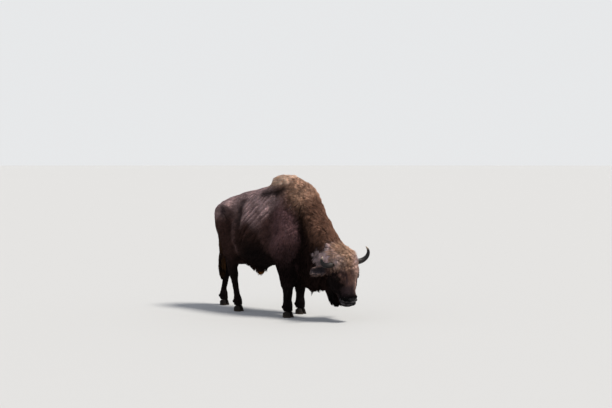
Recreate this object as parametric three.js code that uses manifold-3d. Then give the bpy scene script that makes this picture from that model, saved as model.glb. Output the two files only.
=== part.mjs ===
// A life-size European bison (wisent) bull that stands grazing: head lowered to the grass and turned a
// little to its right, right hind leg stepped well forward under the belly, left hind leg behind.
// Millimetres. +X is the way the trunk faces, +Y the animal's left, +Z up. While the forms are laid out,
// x = 0 is under the crest of the hump, y = 0 is the middle of the trunk and z = 0 the floor; the last
// lines move the whole animal so that the origin is under the middle of its bounding box.
//
// Each form is a field: a function of (x, y, z) that is negative inside and about a distance outside.
// Blends of simple fields give the fleshy forms, coat included, and wrap() lays a closed skin of rings
// over a field by looking outward from a line inside it.
import * as THREE from "three";
import { mergeVertices } from "three/addons/utils/BufferGeometryUtils.js";
import Module from "manifold-3d";

const wasm = await Module();
wasm.setup();

// ---------------------------------------------------------------- driving dimensions

const GAP = 0.3; // clearance between neighbouring pieces
const HUMP_Z = 1600; // crest of the hump, without the tuft on it
const HIP_X = -965; // hip joints
const RUMP_X = -1220; // back of the rump, at the root of the tail
const CHEST_HALF = 300; // half the width of the rib cage
const CORONET_Z = 78; // height of the top of the hooves
const FORE_TRACK = 165; // from the middle to the middle of a fore hoof
const HIND_TRACK = 150; // the same for a hind hoof
const POLL = [925, -62, 722]; // middle of the forehead between the horns, at the surface of the skin
const HEAD_YAW = -18; // degrees: the head turns to the animal's right
const HEAD_PITCH = 5; // degrees: the muzzle is this far forward of hanging straight down
const HEAD_ROLL = 4; // degrees: the left horn is higher than the right

const at = (x, y, z) => new THREE.Vector3(x, y, z);
const rad = THREE.MathUtils.degToRad;
const mix = THREE.MathUtils.lerp;

// ---------------------------------------------------------------- fields

// A limb that tapers from radius ra at a to rb at b. flat below 1 makes it narrow from side to side.
function limb(a, ra, b, rb, flat = 1) {
  const [ax, ay, az] = a;
  const [dx, dy, dz] = [b[0] - ax, b[1] - ay, b[2] - az];
  const length2 = dx * dx + dy * dy + dz * dz;
  const scale = Math.min(1, flat);
  return (x, y, z) => {
    const along = ((x - ax) * dx + (y - ay) * dy + (z - az) * dz) / length2;
    const t = Math.min(1, Math.max(0, along));
    const ex = x - ax - dx * t;
    const ey = (y - ay - dy * t) / flat;
    const ez = z - az - dz * t;
    return (Math.sqrt(ex * ex + ey * ey + ez * ez) - mix(ra, rb, t)) * scale;
  };
}

// Several limbs end to end: joints is a list of [x, y, z, radius].
function chain(joints, flat = 1) {
  const pieces = joints.slice(1).map((end, i) => {
    const start = joints[i];
    return limb(start, start[3], end, end[3], flat);
  });
  return (x, y, z) => Math.min(...pieces.map((piece) => piece(x, y, z)));
}

// An egg of half-sizes r about c, its nose tipped down by tilt degrees.
function egg(c, r, tilt = 0) {
  const [cos, sin] = [Math.cos(rad(tilt)), Math.sin(rad(tilt))];
  return (x, y, z) => {
    const [px, py, pz] = [x - c[0], y - c[1], z - c[2]];
    const [lx, lz] = [px * cos - pz * sin, px * sin + pz * cos];
    const k = Math.hypot(lx / r[0], py / r[1], lz / r[2]);
    const slope = Math.hypot(lx / r[0] ** 2, py / r[1] ** 2, lz / r[2] ** 2);
    return slope > 0 ? (k * (k - 1)) / slope : -Math.min(...r);
  };
}

// All of the fields, run together over a width of about k.
function blend(k, ...fields) {
  return (x, y, z) => {
    let d = fields[0](x, y, z);
    for (let i = 1; i < fields.length; i++) {
      const e = fields[i](x, y, z);
      const h = Math.max(k - Math.abs(d - e), 0) / k;
      d = Math.min(d, e) - (h * h * k) / 4;
    }
    return d;
  };
}

// What lies in every one of the fields, its edges rounded over a width of about k.
function common(k, ...fields) {
  const inverse = blend(k, ...fields.map((f) => (x, y, z) => -f(x, y, z)));
  return (x, y, z) => -inverse(x, y, z);
}

const hollowed = (k, field, hole) => common(k, field, (x, y, z) => -hole(x, y, z));
const shrunk = (field, by) => (x, y, z) => field(x, y, z) + by;

// The half of space behind the plane through point whose outward normal is given.
function halfSpace(point, normal) {
  const n = at(...normal).normalize();
  const offset = n.dot(at(...point));
  return (x, y, z) => x * n.x + y * n.y + z * n.z - offset;
}

// A field laid out in the frame of the given matrix, which doesn't scale.
function placed(field, matrix) {
  const e = matrix.clone().invert().elements;
  return (x, y, z) =>
    field(
      e[0] * x + e[4] * y + e[8] * z + e[12],
      e[1] * x + e[5] * y + e[9] * z + e[13],
      e[2] * x + e[6] * y + e[10] * z + e[14],
    );
}

const mirrored = (field) => (x, y, z) => field(x, Math.abs(y), z);

// ---------------------------------------------------------------- surfaces and solids

// How far from origin, along direction, the field first reaches level.
function reachOf(field, origin, direction, level) {
  const value = (r) =>
    field(
      origin.x + direction.x * r,
      origin.y + direction.y * r,
      origin.z + direction.z * r,
    ) - level;
  let [inside, r] = [0, 0];
  let d = value(0);
  if (d > 0) throw new Error("a spine leaves its form at " + origin.toArray().map(Math.round));
  while (d <= 0 && r < 3000) {
    inside = r;
    r += Math.max(1.5, -d * 0.6);
    d = value(r);
  }
  for (let i = 0; i < 14; i++) {
    const middle = (inside + r) / 2;
    if (value(middle) > 0) r = middle;
    else inside = middle;
  }
  return inside;
}

// A closed skin over field: rings about the spine, and a dome of caps rings and a tip at each end.
// lateral is the direction that the first side of each ring looks in. crowd draws the sides together
// round the angle focus, in degrees; level lays the skin outside the field.
function wrap(field, spine, options) {
  const { rings, sides, caps = 3, level = 0, lateral = at(0, 1, 0), crowd = 0, focus = 90 } = options;
  const curve = new THREE.CatmullRomCurve3(spine.map((p) => at(...p)), false, "centripetal");
  const points = [];
  const look = (origin, direction) => {
    const r = reachOf(field, origin, direction, level);
    points.push(...origin.clone().addScaledVector(direction, r).toArray());
  };
  const ring = (u, tilt) => {
    const origin = curve.getPointAt(u);
    const forward = curve.getTangentAt(u);
    const side = lateral.clone().addScaledVector(forward, -lateral.dot(forward)).normalize();
    const up = forward.clone().cross(side);
    for (let j = 0; j < sides; j++) {
      const share = (2 * Math.PI * j) / sides;
      const turn = share - crowd * Math.sin(share - rad(focus));
      const out = side.clone().multiplyScalar(Math.cos(turn)).addScaledVector(up, Math.sin(turn));
      out.multiplyScalar(Math.cos(tilt)).addScaledVector(forward, Math.sin(tilt));
      look(origin, out.normalize());
    }
  };
  const tilts = Array.from({ length: caps }, (_, i) => (((i + 1) / (caps + 1)) * Math.PI) / 2);
  look(curve.getPointAt(0), curve.getTangentAt(0).negate());
  tilts.toReversed().forEach((tilt) => ring(0, -tilt));
  for (let i = 0; i < rings; i++) ring(i / (rings - 1), 0);
  tilts.forEach((tilt) => ring(1, tilt));
  look(curve.getPointAt(1), curve.getTangentAt(1));

  const count = rings + 2 * caps;
  const tip = 1 + count * sides;
  const faces = [];
  for (let j = 0; j < sides; j++) {
    const next = (j + 1) % sides;
    faces.push(0, 1 + next, 1 + j);
    for (let i = 0; i < count - 1; i++) {
      const [a, b] = [1 + i * sides + j, 1 + i * sides + next];
      faces.push(a, b, b + sides, a, b + sides, a + sides);
    }
    faces.push(tip, tip - sides + j, tip - sides + next);
  }
  const geometry = new THREE.BufferGeometry();
  geometry.setAttribute("position", new THREE.Float32BufferAttribute(points, 3));
  geometry.setIndex(faces);
  return geometry;
}

// A manifold solid from a closed geometry, in the given frame.
function solid(geometry, matrix = new THREE.Matrix4()) {
  const bare = new THREE.BufferGeometry()
    .setAttribute("position", geometry.getAttribute("position").clone())
    .setIndex(geometry.index);
  bare.applyMatrix4(matrix);
  const merged = mergeVertices(bare, 1e-3);
  const mesh = new wasm.Mesh({
    numProp: 3,
    vertProperties: merged.attributes.position.array,
    triVerts: new Uint32Array(merged.index.array),
  });
  return new wasm.Manifold(mesh);
}

// The part of a solid that lies behind a plane, or GAP / 2 short of it.
function trimmed(body, point, normal) {
  const size = 8000;
  const box = new THREE.BoxGeometry(size, size, size).translate(0, 0, -size / 2 - GAP / 2);
  const turn = new THREE.Quaternion().setFromUnitVectors(at(0, 0, 1), at(...normal).normalize());
  const frame = new THREE.Matrix4().compose(at(...point), turn, at(1, 1, 1));
  return body.intersect(solid(box, frame));
}

const opposite = (normal) => normal.map((n) => -n);

// The largest body of a solid: cutting can leave specks.
function largest(body) {
  return body.decompose().reduce((best, b) => (b.volume() > best.volume() ? b : best));
}

const bull = new THREE.Group();

const MATERIALS = {
  coat: new THREE.MeshStandardMaterial({ color: 0x4a3328, roughness: 0.95 }),
  mane: new THREE.MeshStandardMaterial({ color: 0x3a271f, roughness: 0.95 }),
  horn: new THREE.MeshStandardMaterial({ color: 0x1e1c1c, roughness: 0.45 }),
  hoof: new THREE.MeshStandardMaterial({ color: 0x1a1614, roughness: 0.6 }),
  eye: new THREE.MeshStandardMaterial({ color: 0x0c0806, roughness: 0.1 }),
};

// Adds a solid to the animal as a named mesh.
function add(name, body, material) {
  const mesh = largest(body).getMesh();
  const geometry = new THREE.BufferGeometry();
  geometry.setAttribute("position", new THREE.BufferAttribute(mesh.vertProperties, 3));
  geometry.setIndex(new THREE.BufferAttribute(mesh.triVerts, 1));
  const piece = new THREE.Mesh(geometry, MATERIALS[material]);
  piece.name = name;
  bull.add(piece);
}

// ---------------------------------------------------------------- trunk and neck

function trunkField() {
  const chest = egg([-230, 0, 950], [620, CHEST_HALF, 400], -2);
  const foreChest = egg([110, 0, 975], [320, 245, 400]);
  const belly = egg([-540, 0, 860], [400, 285, 320], -6);
  const groin = egg([-850, 0, 960], [260, 185, 210], 0);
  const loin = chain([[-250, 0, 1310, 150], [-680, 0, 1270, 135], [-1000, 0, 1195, 115]], 1.15);
  const withers = chain([[-330, 0, 1290, 180], [-60, 0, 1340, 200], [170, 0, 1270, 220]], 0.95);
  const croup = egg([-985, 0, 1130], [165, 175, 145], 12);
  const haunch = mirrored(egg([HIP_X + 50, 120, 1050], [130, 110, 165]));
  const blade = mirrored(limb([30, 110, 1230], 110, [190, 155, 980], 115, 0.85));
  const ridge = chain([
    [-260, 0, 1440, 48],
    [-680, 0, 1384, 44],
    [-960, 0, 1306, 42],
    [RUMP_X + 45, 0, 1218, 42],
  ]);
  const hooks = mirrored(limb([-880, 166, 1255], 56, [-1010, 120, 1190], 75));
  const pins = mirrored(limb([RUMP_X + 175, 80, 1125], 42, [-965, 110, 1110], 70));
  const hump = chain([
    [-130, 0, HUMP_Z - 120, 106],
    [60, 0, HUMP_Z - 120, 112],
    [190, 0, HUMP_Z - 145, 118],
    [280, 0, HUMP_Z - 190, 108],
  ], 0.95);
  const body = blend(90, chest, foreChest, belly, groin, loin, withers, croup, haunch, blade);
  return blend(70, body, ridge, hooks, pins, hump);
}

function neckField() {
  const neck = chain([[180, 0, 1250, 240], [400, -10, 1000, 205], [690, -45, 780, 160]], 0.82);
  const crest = chain([
    [215, 0, 1435, 100],
    [362, -5, 1290, 93],
    [488, -15, 1075, 90],
    [600, -30, 930, 82],
  ]);
  return blend(80, neck, crest);
}

// The long hair that hangs from the throat and chest, and the beard, which hangs from the head.
const maneForm = blend(
  60,
  chain([[270, 0, 820, 190], [290, -5, 560, 120], [285, -9, 395, 74]], 0.75),
  chain([[400, -14, 840, 190], [400, -22, 600, 150], [400, -28, 396, 92]], 0.72),
  chain([[540, -30, 760, 160], [535, -40, 540, 125], [530, -44, 386, 85]], 0.75),
);
// The long hair between the forelegs.
const brisketForm = chain([[240, 0, 720, 130], [180, -8, 540, 98], [140, -14, 366, 64]], 0.72);
const sheathForm = blend(
  40,
  chain([[-720, 0, 690, 90], [-500, 0, 575, 72], [-270, 0, 640, 90]], 0.9),
  chain([[-420, 0, 610, 80], [-445, 0, 520, 46], [-458, 0, 462, 20]], 0.8),
);
const humpTuft = chain([[-185, 0, 1550, 56], [-100, 0, 1568, 64], [70, 0, 1545, 74]]);

// ---------------------------------------------------------------- head

const headTurn = new THREE.Euler(rad(HEAD_ROLL), -rad(HEAD_PITCH), rad(HEAD_YAW), "ZYX");
const headFrame = new THREE.Matrix4().makeRotationFromEuler(headTurn).setPosition(at(...POLL));
const onHead = (p) => at(...p).applyMatrix4(headFrame).toArray();
const headLateral = at(0, 1, 0).transformDirection(headFrame);

// In the head's own frame +X looks out of the forehead, +Z up to the poll, and the muzzle hangs at -Z.
function skullField() {
  const cranium = egg([-110, 0, -75], [112, 158, 150]);
  const brows = mirrored(limb([-62, 70, -170], 60, [-80, 126, -186], 50));
  const face = limb([-95, 0, -190], 124, [-72, 0, -402], 93, 1.08);
  const bridge = limb([-40, 0, -150], 60, [-24, 0, -430], 46);
  const nose = egg([-64, 0, -472], [76, 100, 72]);
  const jaw = mirrored(limb([-215, 62, -200], 70, [-140, 26, -440], 50));
  const cheek = mirrored(egg([-165, 84, -235], [105, 76, 140]));
  const chin = egg([-132, 0, -498], [50, 66, 46]);
  return blend(40, blend(55, cranium, face, cheek), bridge, brows, jaw, nose, chin);
}

function headHairField() {
  const crown = egg([-85, 0, 5], [125, 176, 112]);
  const forelock = egg([-32, 0, -85], [66, 150, 135]);
  return blend(50, crown, forelock);
}

const headForm = placed(blend(55, skullField(), headHairField()), headFrame);
const beardField = blend(
  60,
  chain([[-280, 0, -240, 135], [-350, 0, -370, 112], [-362, 0, -460, 84], [-355, 0, -500, 58]], 0.85),
  chain([[-205, 0, -340, 105], [-225, 0, -430, 88], [-248, 0, -495, 60]], 0.85),
);
const beardForm = placed(beardField, headFrame);
const hangingHair = blend(60, sheathForm, maneForm, brisketForm);
const wholeBody = blend(60, blend(80, trunkField(), neckField(), humpTuft), hangingHair);
const wholeFront = blend(60, wholeBody, headForm);

const NECK_CUT = { point: [250, 0, 1150], normal: [0.86, 0, -0.5] };
const HEAD_CUT = { point: [745, -50, 760], normal: [0.8, -0.12, -0.58] };
const BEYOND = 80; // how far past a cut a form is wrapped before it is trimmed

// The half of space that ends BEYOND past a cut, on its far side, or on its near side if way is -1.
function past({ point, normal }, way) {
  const end = at(...point).addScaledVector(at(...normal).normalize(), way * BEYOND);
  return halfSpace(end.toArray(), way > 0 ? normal : opposite(normal));
}

function makeTrunk() {
  const field = common(1, wholeBody, past(NECK_CUT, 1));
  const spine = [[-1060, 0, 1140], [-700, 0, 1080], [-250, 0, 1100], [60, 0, 1130], [235, 0, 1150]];
  const body = solid(wrap(field, spine, { rings: 23, sides: 22, caps: 3, crowd: 0.4 }));
  const sheathSpine = [[-460, 0, 640], [-440, 0, 570], [-457, 0, 480]];
  const sheath = solid(wrap(sheathForm, sheathSpine, { rings: 6, sides: 12, caps: 1 }));
  return trimmed(body.add(sheath), NECK_CUT.point, NECK_CUT.normal);
}

function makeNeck() {
  const field = common(1, wholeFront, past(NECK_CUT, -1), past(HEAD_CUT, 1));
  const spine = [[270, 0, 1090], [430, -12, 960], [630, -40, 810]];
  const body = solid(wrap(field, spine, { rings: 8, sides: 20, caps: 3, crowd: 0.35 }));
  const maneSpine = [[400, -14, 880], [400, -16, 620], [415, -30, 400]];
  const brisketSpine = [[240, 0, 720], [180, -8, 540], [140, -14, 370]];
  const longHair = solid(wrap(maneForm, maneSpine, { rings: 6, sides: 12, caps: 2 }));
  const mane = longHair.add(solid(wrap(brisketForm, brisketSpine, { rings: 4, sides: 8, caps: 1 })));
  const front = trimmed(body, HEAD_CUT.point, HEAD_CUT.normal).add(mane);
  return trimmed(front, NECK_CUT.point, opposite(NECK_CUT.normal));
}

function makeHead(level = 0) {
  const field = common(1, blend(60, headForm, blend(80, neckField(), trunkField())), past(HEAD_CUT, -1));
  const spine = [[-95, 0, -10], [-100, 0, -200], [-84, 0, -440]].map(onHead);
  const body = solid(wrap(field, spine, { rings: 15, sides: 20, caps: 3, lateral: headLateral, level }));
  const beardSpine = [[-260, 0, -270], [-310, 0, -395], [-325, 0, -490]].map(onHead);
  const beardRings = { rings: 6, sides: 12, caps: 2, lateral: headLateral, level };
  const beard = solid(wrap(beardForm, beardSpine, beardRings));
  const cut = at(...HEAD_CUT.point).addScaledVector(at(...HEAD_CUT.normal).normalize(), -level);
  return trimmed(body.add(beard), cut.toArray(), opposite(HEAD_CUT.normal));
}

// ---------------------------------------------------------------- ears, horns and eyes

const EYE_R = 20;
const EYE_FROM = [-80, 40, -212]; // inside the head
const EYE_OUT = [0.42, 0.9, 0.02]; // the eye sits where the line from EYE_FROM this way comes out
const EYE_SUNK = 9; // from the surface round the eye in to the middle of the eyeball

function eyeCentre(side) {
  const from = onHead([EYE_FROM[0], side * EYE_FROM[1], EYE_FROM[2]]);
  const out = at(EYE_OUT[0], side * EYE_OUT[1], EYE_OUT[2]).transformDirection(headFrame);
  return at(...from).addScaledVector(out, reachOf(headForm, at(...from), out, 0) - EYE_SUNK);
}

function eyeball(side, radius) {
  const frame = new THREE.Matrix4().setPosition(eyeCentre(side));
  return solid(new THREE.SphereGeometry(radius, 9, 6), frame);
}

// Joints of the horns, told for the left side, in the head's frame: out, up and in again at the tip. The
// right horn is the shorter one and stands wider.
const LEFT_HORN = [
  [-80, 105, -54, 38],
  [-72, 170, -58, 34],
  [-58, 232, -48, 30],
  [-40, 278, -18, 25],
  [-26, 298, 26, 19],
  [-20, 292, 68, 13],
  [-22, 272, 100, 5],
];
const RIGHT_HORN = [
  ...LEFT_HORN.slice(0, 2),
  [-60, 238, -56, 30],
  [-42, 288, -38, 25],
  [-28, 314, -6, 19],
  [-22, 316, 24, 13],
  [-20, 306, 50, 5],
];

function makeHorn(side) {
  const horn = side > 0 ? LEFT_HORN : RIGHT_HORN;
  const joints = horn.map(([x, y, z, r]) => [...onHead([x, side * y, z]), r]);
  const spine = joints.map((j) => j.slice(0, 3));
  const lateral = at(1, 0, 0).transformDirection(headFrame);
  return solid(wrap(blend(12, chain(joints)), spine, { rings: 10, sides: 8, caps: 1, lateral }));
}

// An ear in its own frame: it grows along +Z and opens towards +X.
function makeEar(side) {
  const shell = egg([0, 0, 108], [34, 57, 132]);
  const root = limb([-6, 0, -30], 30, [-4, 0, 30], 36);
  const hole = egg([32, 0, 122], [32, 37, 92]);
  const form = hollowed(14, blend(20, shell, root), hole);
  const frame = headFrame
    .clone()
    .multiply(new THREE.Matrix4().makeTranslation(-180, side * 125, -95))
    .multiply(new THREE.Matrix4().makeRotationZ(side * rad(36)))
    .multiply(new THREE.Matrix4().makeRotationX(-side * rad(95)));
  const spine = [[-10, 0, -20], [-16, 0, 50], [-15, 0, 175]];
  return solid(wrap(form, spine, { rings: 7, sides: 12, caps: 1 }), frame);
}

// ---------------------------------------------------------------- legs and hooves

const LEGS = {
  foreleg_right: { side: -1, hoofX: 118, track: FORE_TRACK, hind: false },
  foreleg_left: { side: 1, hoofX: 12, track: FORE_TRACK, hind: false },
  hind_leg_right: { side: -1, hoofX: -705, stifle: [-690, 800], hockX: -795, track: HIND_TRACK, hind: true },
  hind_leg_left: { side: 1, hoofX: -1262, stifle: [-880, 770], hockX: -1215, track: HIND_TRACK, hind: true },
};
const KNEE_Z = 430;
const HOCK_Z = 500;
const HAM_X = -985; // middle of the muscle behind the thigh, at its top
const hamX = (hockX) => mix(HAM_X, hockX - 52, 0.75); // the same low down, above the hock

// The shoulder and everything below it, with the long hair of the upper leg.
function foreLegField({ side, hoofX, track }) {
  const y = side * track;
  const kneeX = mix(95, hoofX, 0.75);
  const arm = limb([185, side * 165, 950], 112, [40, side * 185, 800], 128, 0.9);
  const forearm = limb([34, side * 188, 780], 138, [kneeX - 6, y, 560], 108, 0.9);
  const knee = limb([kneeX - 2, y, 560], 104, [kneeX, y, KNEE_Z], 80, 0.88);
  const cannon = chain([[kneeX, y, KNEE_Z, 78], [hoofX + 4, y, 290, 60], [hoofX - 4, y, 160, 44]], 0.92);
  const fetlock = egg([hoofX - 6, y, 138], [50, 48, 44]);
  const pastern = limb([hoofX - 4, y, 130], 42, [hoofX + 8, y, CORONET_Z], 50);
  return blend(45, blend(70, arm, forearm), knee, cannon, fetlock, pastern);
}

// The thigh and everything below it.
function hindLegField({ side, hoofX, track, stifle, hockX }) {
  const y = side * track;
  const [stifleX, stifleZ] = stifle;
  const shankX = mix(stifleX, hockX, 0.55);
  const backX = hockX - 52;
  const thigh = limb([HIP_X + 35, side * 125, 1050], 132, [stifleX, side * 180, stifleZ], 95, 0.78);
  const ham = chain([
    [HAM_X, side * 92, 1080, 80],
    [mix(HAM_X, backX, 0.3), side * 125, 940, 80],
    [hamX(hockX), side * 155, 680, 58],
  ], 0.9);
  const calfX = mix(hamX(hockX), stifleX, 0.45);
  const calf = limb([mix(HAM_X, stifleX, 0.4), side * 130, 920], 120, [calfX, side * 155, 715], 88, 0.85);
  const shank = chain([
    [stifleX, side * 180, stifleZ, 92],
    [shankX, side * 165, mix(stifleZ, HOCK_Z, 0.55), 74],
    [hockX, y, HOCK_Z, 52],
  ], 0.8);
  const hock = chain([
    [backX, y, HOCK_Z + 42, 28],
    [hockX - 5, y, HOCK_Z - 20, 52],
    [hockX + 12, y, HOCK_Z - 60, 44],
  ], 0.85);
  const tendon = limb([hamX(hockX), side * 155, 680], 44, [backX, y, HOCK_Z + 45], 27);
  const cannon = limb([hockX + 12, y, HOCK_Z - 60], 45, [hoofX - 14, y, 165], 34, 0.9);
  const fetlock = egg([hoofX - 14, y, 140], [46, 44, 42]);
  const pastern = limb([hoofX - 10, y, 130], 38, [hoofX + 6, y, CORONET_Z], 47);
  return blend(40, blend(70, thigh, ham, calf, shank), hock, tendon, cannon, fetlock, pastern);
}

// The front and back of a hind leg at its stifle.
function stifleSpan({ stifle, hockX }) {
  return [hamX(hockX) - 58, stifle[0] + 95];
}

// The space that a leg takes out of the body: the leg is all that lies inside it.
function legRegion(leg) {
  const { side, hoofX, track, hind } = leg;
  const foot = [hoofX, side * track, 90];
  const hip = egg([HIP_X + 10, side * 250, 930], [310, 190, 300]);
  const shoulder = egg([90, side * 255, 960], [290, 190, 330]);
  const [back, front] = hind ? stifleSpan(leg) : [-125, 245];
  const joint = [(front + back) / 2, side * 205, 740];
  return blend(60, hind ? hip : shoulder, limb(joint, (front - back) / 2 + 30, foot, 190, 0.65));
}

function regionSolid(leg, level) {
  const { side, hoofX, track, hind } = leg;
  const top = hind ? [HIP_X + 10, side * 250, 1050] : [90, side * 255, 1100];
  const spine = [top, [mix(top[0], hoofX, 0.5), side * 215, 650], [hoofX, side * track, 100]];
  const lateral = at(0, side, 0);
  return solid(wrap(legRegion(leg), spine, { rings: 8, sides: 14, caps: 2, level, lateral }));
}

function legSpine(leg) {
  const { side, hoofX, track, hind, hockX } = leg;
  const y = side * track;
  const foot = [[hoofX - 8, y, 170], [hoofX, y, 60]];
  if (!hind) {
    const knee = [mix(95, hoofX, 0.75), y, KNEE_Z];
    return [[90, side * 100, 1090], [60, side * 150, 800], knee, ...foot];
  }
  const [back, front] = stifleSpan(leg);
  const stifle = [(back + front) / 2, side * 150, 740];
  return [[HIP_X + 10, side * 105, 1060], stifle, [hockX, y, HOCK_Z], ...foot];
}

function wrapLeg(leg, level = 0) {
  const limbs = leg.hind ? hindLegField(leg) : foreLegField(leg);
  const reach = shrunk(legRegion(leg), -100);
  const sole = halfSpace([0, 0, CORONET_Z - 40], [0, 0, -1]);
  const field = common(1, blend(60, limbs, wholeBody), reach, sole);
  const sides = { sides: 14, lateral: at(0, leg.side, 0), crowd: 0.2, focus: 0 };
  const body = solid(wrap(field, legSpine(leg), { rings: 17, caps: 2, level, ...sides }));
  return trimmed(body.intersect(regionSolid(leg, 0)), [0, 0, CORONET_Z], [0, 0, -1]);
}

// One claw of a cloven hoof: a tapered cylinder, drawn out to a toe and leaning back as it rises.
const CLAW = { length: 60, width: 29, gap: 3 };

function makeClaw({ hoofX, side, track, hind }, out) {
  const scale = hind ? 0.92 : 1;
  const height = CORONET_Z - GAP;
  const claw = new THREE.CylinderGeometry(0.84, 1, height, 14, 1);
  claw.rotateX(Math.PI / 2).translate(0, 0, height / 2);
  const p = claw.getAttribute("position");
  for (let i = 0; i < p.count; i++) {
    const [u, v, z] = [p.getX(i), p.getY(i), p.getZ(i)];
    const point = Math.max(0, u) ** 2; // the claw narrows and turns in to the toe
    const across = v * (1 - 0.32 * point) + out * (1 - 0.3 * point);
    p.setX(i, scale * (u * CLAW.length + 14) - (z / height) * 12);
    p.setY(i, scale * (across * CLAW.width + out * CLAW.gap));
  }
  claw.translate(hoofX, side * track, 0);
  return solid(claw);
}

function makeDewclaw({ hoofX, side, track }, out) {
  const claw = new THREE.SphereGeometry(1, 6, 3).scale(20, 16, 26);
  claw.translate(hoofX - 52, side * track + out * 24, 118);
  return solid(claw);
}

// ---------------------------------------------------------------- tail

const TAIL = [
  [RUMP_X + 43, 0, 1200, 48],
  [RUMP_X + 4, 0, 1158, 42],
  [RUMP_X + 16, 0, 1060, 34],
  [RUMP_X + 50, 0, 900, 28],
  [RUMP_X + 68, 2, 700, 30],
  [RUMP_X + 74, 4, 560, 42],
  [RUMP_X + 75, 6, 440, 44],
  [RUMP_X + 77, 8, 340, 16],
];
const TUFT_Z = 700; // where the long hair of the tail begins

function makeTail(level = 0) {
  const spine = TAIL.map((j) => j.slice(0, 3));
  return solid(wrap(blend(20, chain(TAIL)), spine, { rings: 13, sides: 8, caps: 1, level }));
}

// ---------------------------------------------------------------- assembly

const headGrown = makeHead(GAP);
let head = makeHead();
const tail = makeTail();
let trunk = makeTrunk().subtract(makeTail(GAP));
let neck = makeNeck().subtract(headGrown);
for (const [name, leg] of Object.entries(LEGS)) {
  const taken = regionSolid(leg, GAP);
  trunk = trunk.subtract(taken);
  neck = neck.subtract(taken);
  const whole = wrapLeg(leg);
  const jointZ = leg.hind ? HOCK_Z - 70 : KNEE_Z - 50;
  add(name + "_upper", trimmed(whole, [0, 0, jointZ], [0, 0, -1]), "coat");
  add(name + "_lower", trimmed(whole, [0, 0, jointZ], [0, 0, 1]), "coat");
  for (const out of [-1, 1]) {
    const which = out === leg.side ? "outer" : "inner";
    add(`${name}_claw_${which}`, makeClaw(leg, out), "hoof");
    add(`${name}_dewclaw_${which}`, makeDewclaw(leg, out).subtract(wrapLeg(leg, GAP)), "hoof");
  }
}
for (const [name, side] of [["right", -1], ["left", 1]]) {
  add("eye_" + name, eyeball(side, EYE_R), "eye");
  head = head.subtract(eyeball(side, EYE_R + GAP));
  add("horn_" + name, makeHorn(side).subtract(headGrown), "horn");
  add("ear_" + name, makeEar(side).subtract(headGrown), "coat");
}
add("tail", trimmed(tail, [0, 0, TUFT_Z], [0, 0, -1]), "coat");
add("tail_tuft", trimmed(tail, [0, 0, TUFT_Z], [0, 0, 1]), "mane");
add("trunk", trunk, "coat");
add("neck", neck, "mane");
add("head", head, "coat");

const box = new THREE.Box3().setFromObject(bull);
bull.position.set(-(box.min.x + box.max.x) / 2, -(box.min.y + box.max.y) / 2, -box.min.z);

export default bull;
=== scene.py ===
"""The looks of a life-size wisent bull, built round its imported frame.

One skin stands for all the CAD's nodes of flesh: they are run together, smoothed, drawn in by the depth of
the coat, and given their bones, folds, lids, nostrils and lips. Over the skin lies the coat, as some hundred
thousand small solid locks that follow the lie of the hair. Skin and coat take their colour from the same
markings. Eyes, horns and hooves are pieces of their own.

Metres, in the frame's axes: +X the way the trunk faces, +Y the animal's left, +Z up. Many places are told
from the point on the floor under the hump, or in the head's own frame: +X out of the forehead, +Y to the
left, +Z up to the poll.
"""

import itertools
import math

import bmesh
import bpy
import numpy as np
from mathutils import Euler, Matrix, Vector
from mathutils.bvhtree import BVHTree
from mathutils.kdtree import KDTree


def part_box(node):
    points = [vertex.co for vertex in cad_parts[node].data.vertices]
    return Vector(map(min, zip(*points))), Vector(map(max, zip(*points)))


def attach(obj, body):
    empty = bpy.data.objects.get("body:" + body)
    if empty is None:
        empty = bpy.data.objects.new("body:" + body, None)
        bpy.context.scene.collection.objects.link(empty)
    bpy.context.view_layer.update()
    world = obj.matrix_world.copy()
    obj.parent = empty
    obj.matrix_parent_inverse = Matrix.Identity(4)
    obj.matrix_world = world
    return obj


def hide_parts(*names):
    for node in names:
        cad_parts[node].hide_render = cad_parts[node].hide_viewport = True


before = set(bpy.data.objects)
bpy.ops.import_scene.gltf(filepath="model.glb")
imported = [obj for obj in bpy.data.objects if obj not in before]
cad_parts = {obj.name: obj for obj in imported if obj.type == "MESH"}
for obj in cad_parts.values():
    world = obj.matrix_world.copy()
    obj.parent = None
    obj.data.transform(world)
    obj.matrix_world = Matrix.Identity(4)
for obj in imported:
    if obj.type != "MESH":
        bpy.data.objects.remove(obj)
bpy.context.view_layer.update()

rng = np.random.default_rng(7)

# --- numbers


def linear(red, green, blue):
    """A colour given as it looks on a screen, from 0 to 255, as the linear values that a shader takes."""
    c = np.array([red, green, blue]) / 255
    return np.where(c <= 0.04045, c / 12.92, ((c + 0.055) / 1.055) ** 2.4)


def rise(x, low, high):
    """0 below low, 1 above high and smooth between them. low may be the larger."""
    t = np.clip((x - low) / (high - low), 0, 1)
    return t * t * (3 - 2 * t)


def unit(v):
    return v / np.maximum(np.linalg.norm(v, axis=-1, keepdims=True), 1e-9)


def blend(a, b, share):
    return a + (b - a) * share


def turns_of(count):
    """A full turn in even steps, in radians."""
    return 2 * np.pi * np.arange(count) / count


def from_line(points, line):
    """The way from the nearest place on a line of joints to each point, in the axes that the joints have."""
    best = np.full(len(points), np.inf)
    way = np.zeros(points.shape)
    for a, b in itertools.pairwise(np.array(line, float)):
        t = np.clip(((points - a) @ (b - a)) / ((b - a) @ (b - a)), 0, 1)
        here = points - a - t[:, None] * (b - a)
        far = np.linalg.norm(here, axis=1)
        way[far < best] = here[far < best]
        best = np.minimum(best, far)
    return way


def stroke(points, line, radius):
    """1 on a line of joints, fading to nothing at about twice the radius."""
    return bell(np.linalg.norm(from_line(points, line), axis=1), radius)


def bell(x, width):
    """1 where x is nothing, fading to nothing on both sides at about twice the width."""
    return np.exp(-((x / width) ** 2))


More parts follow.
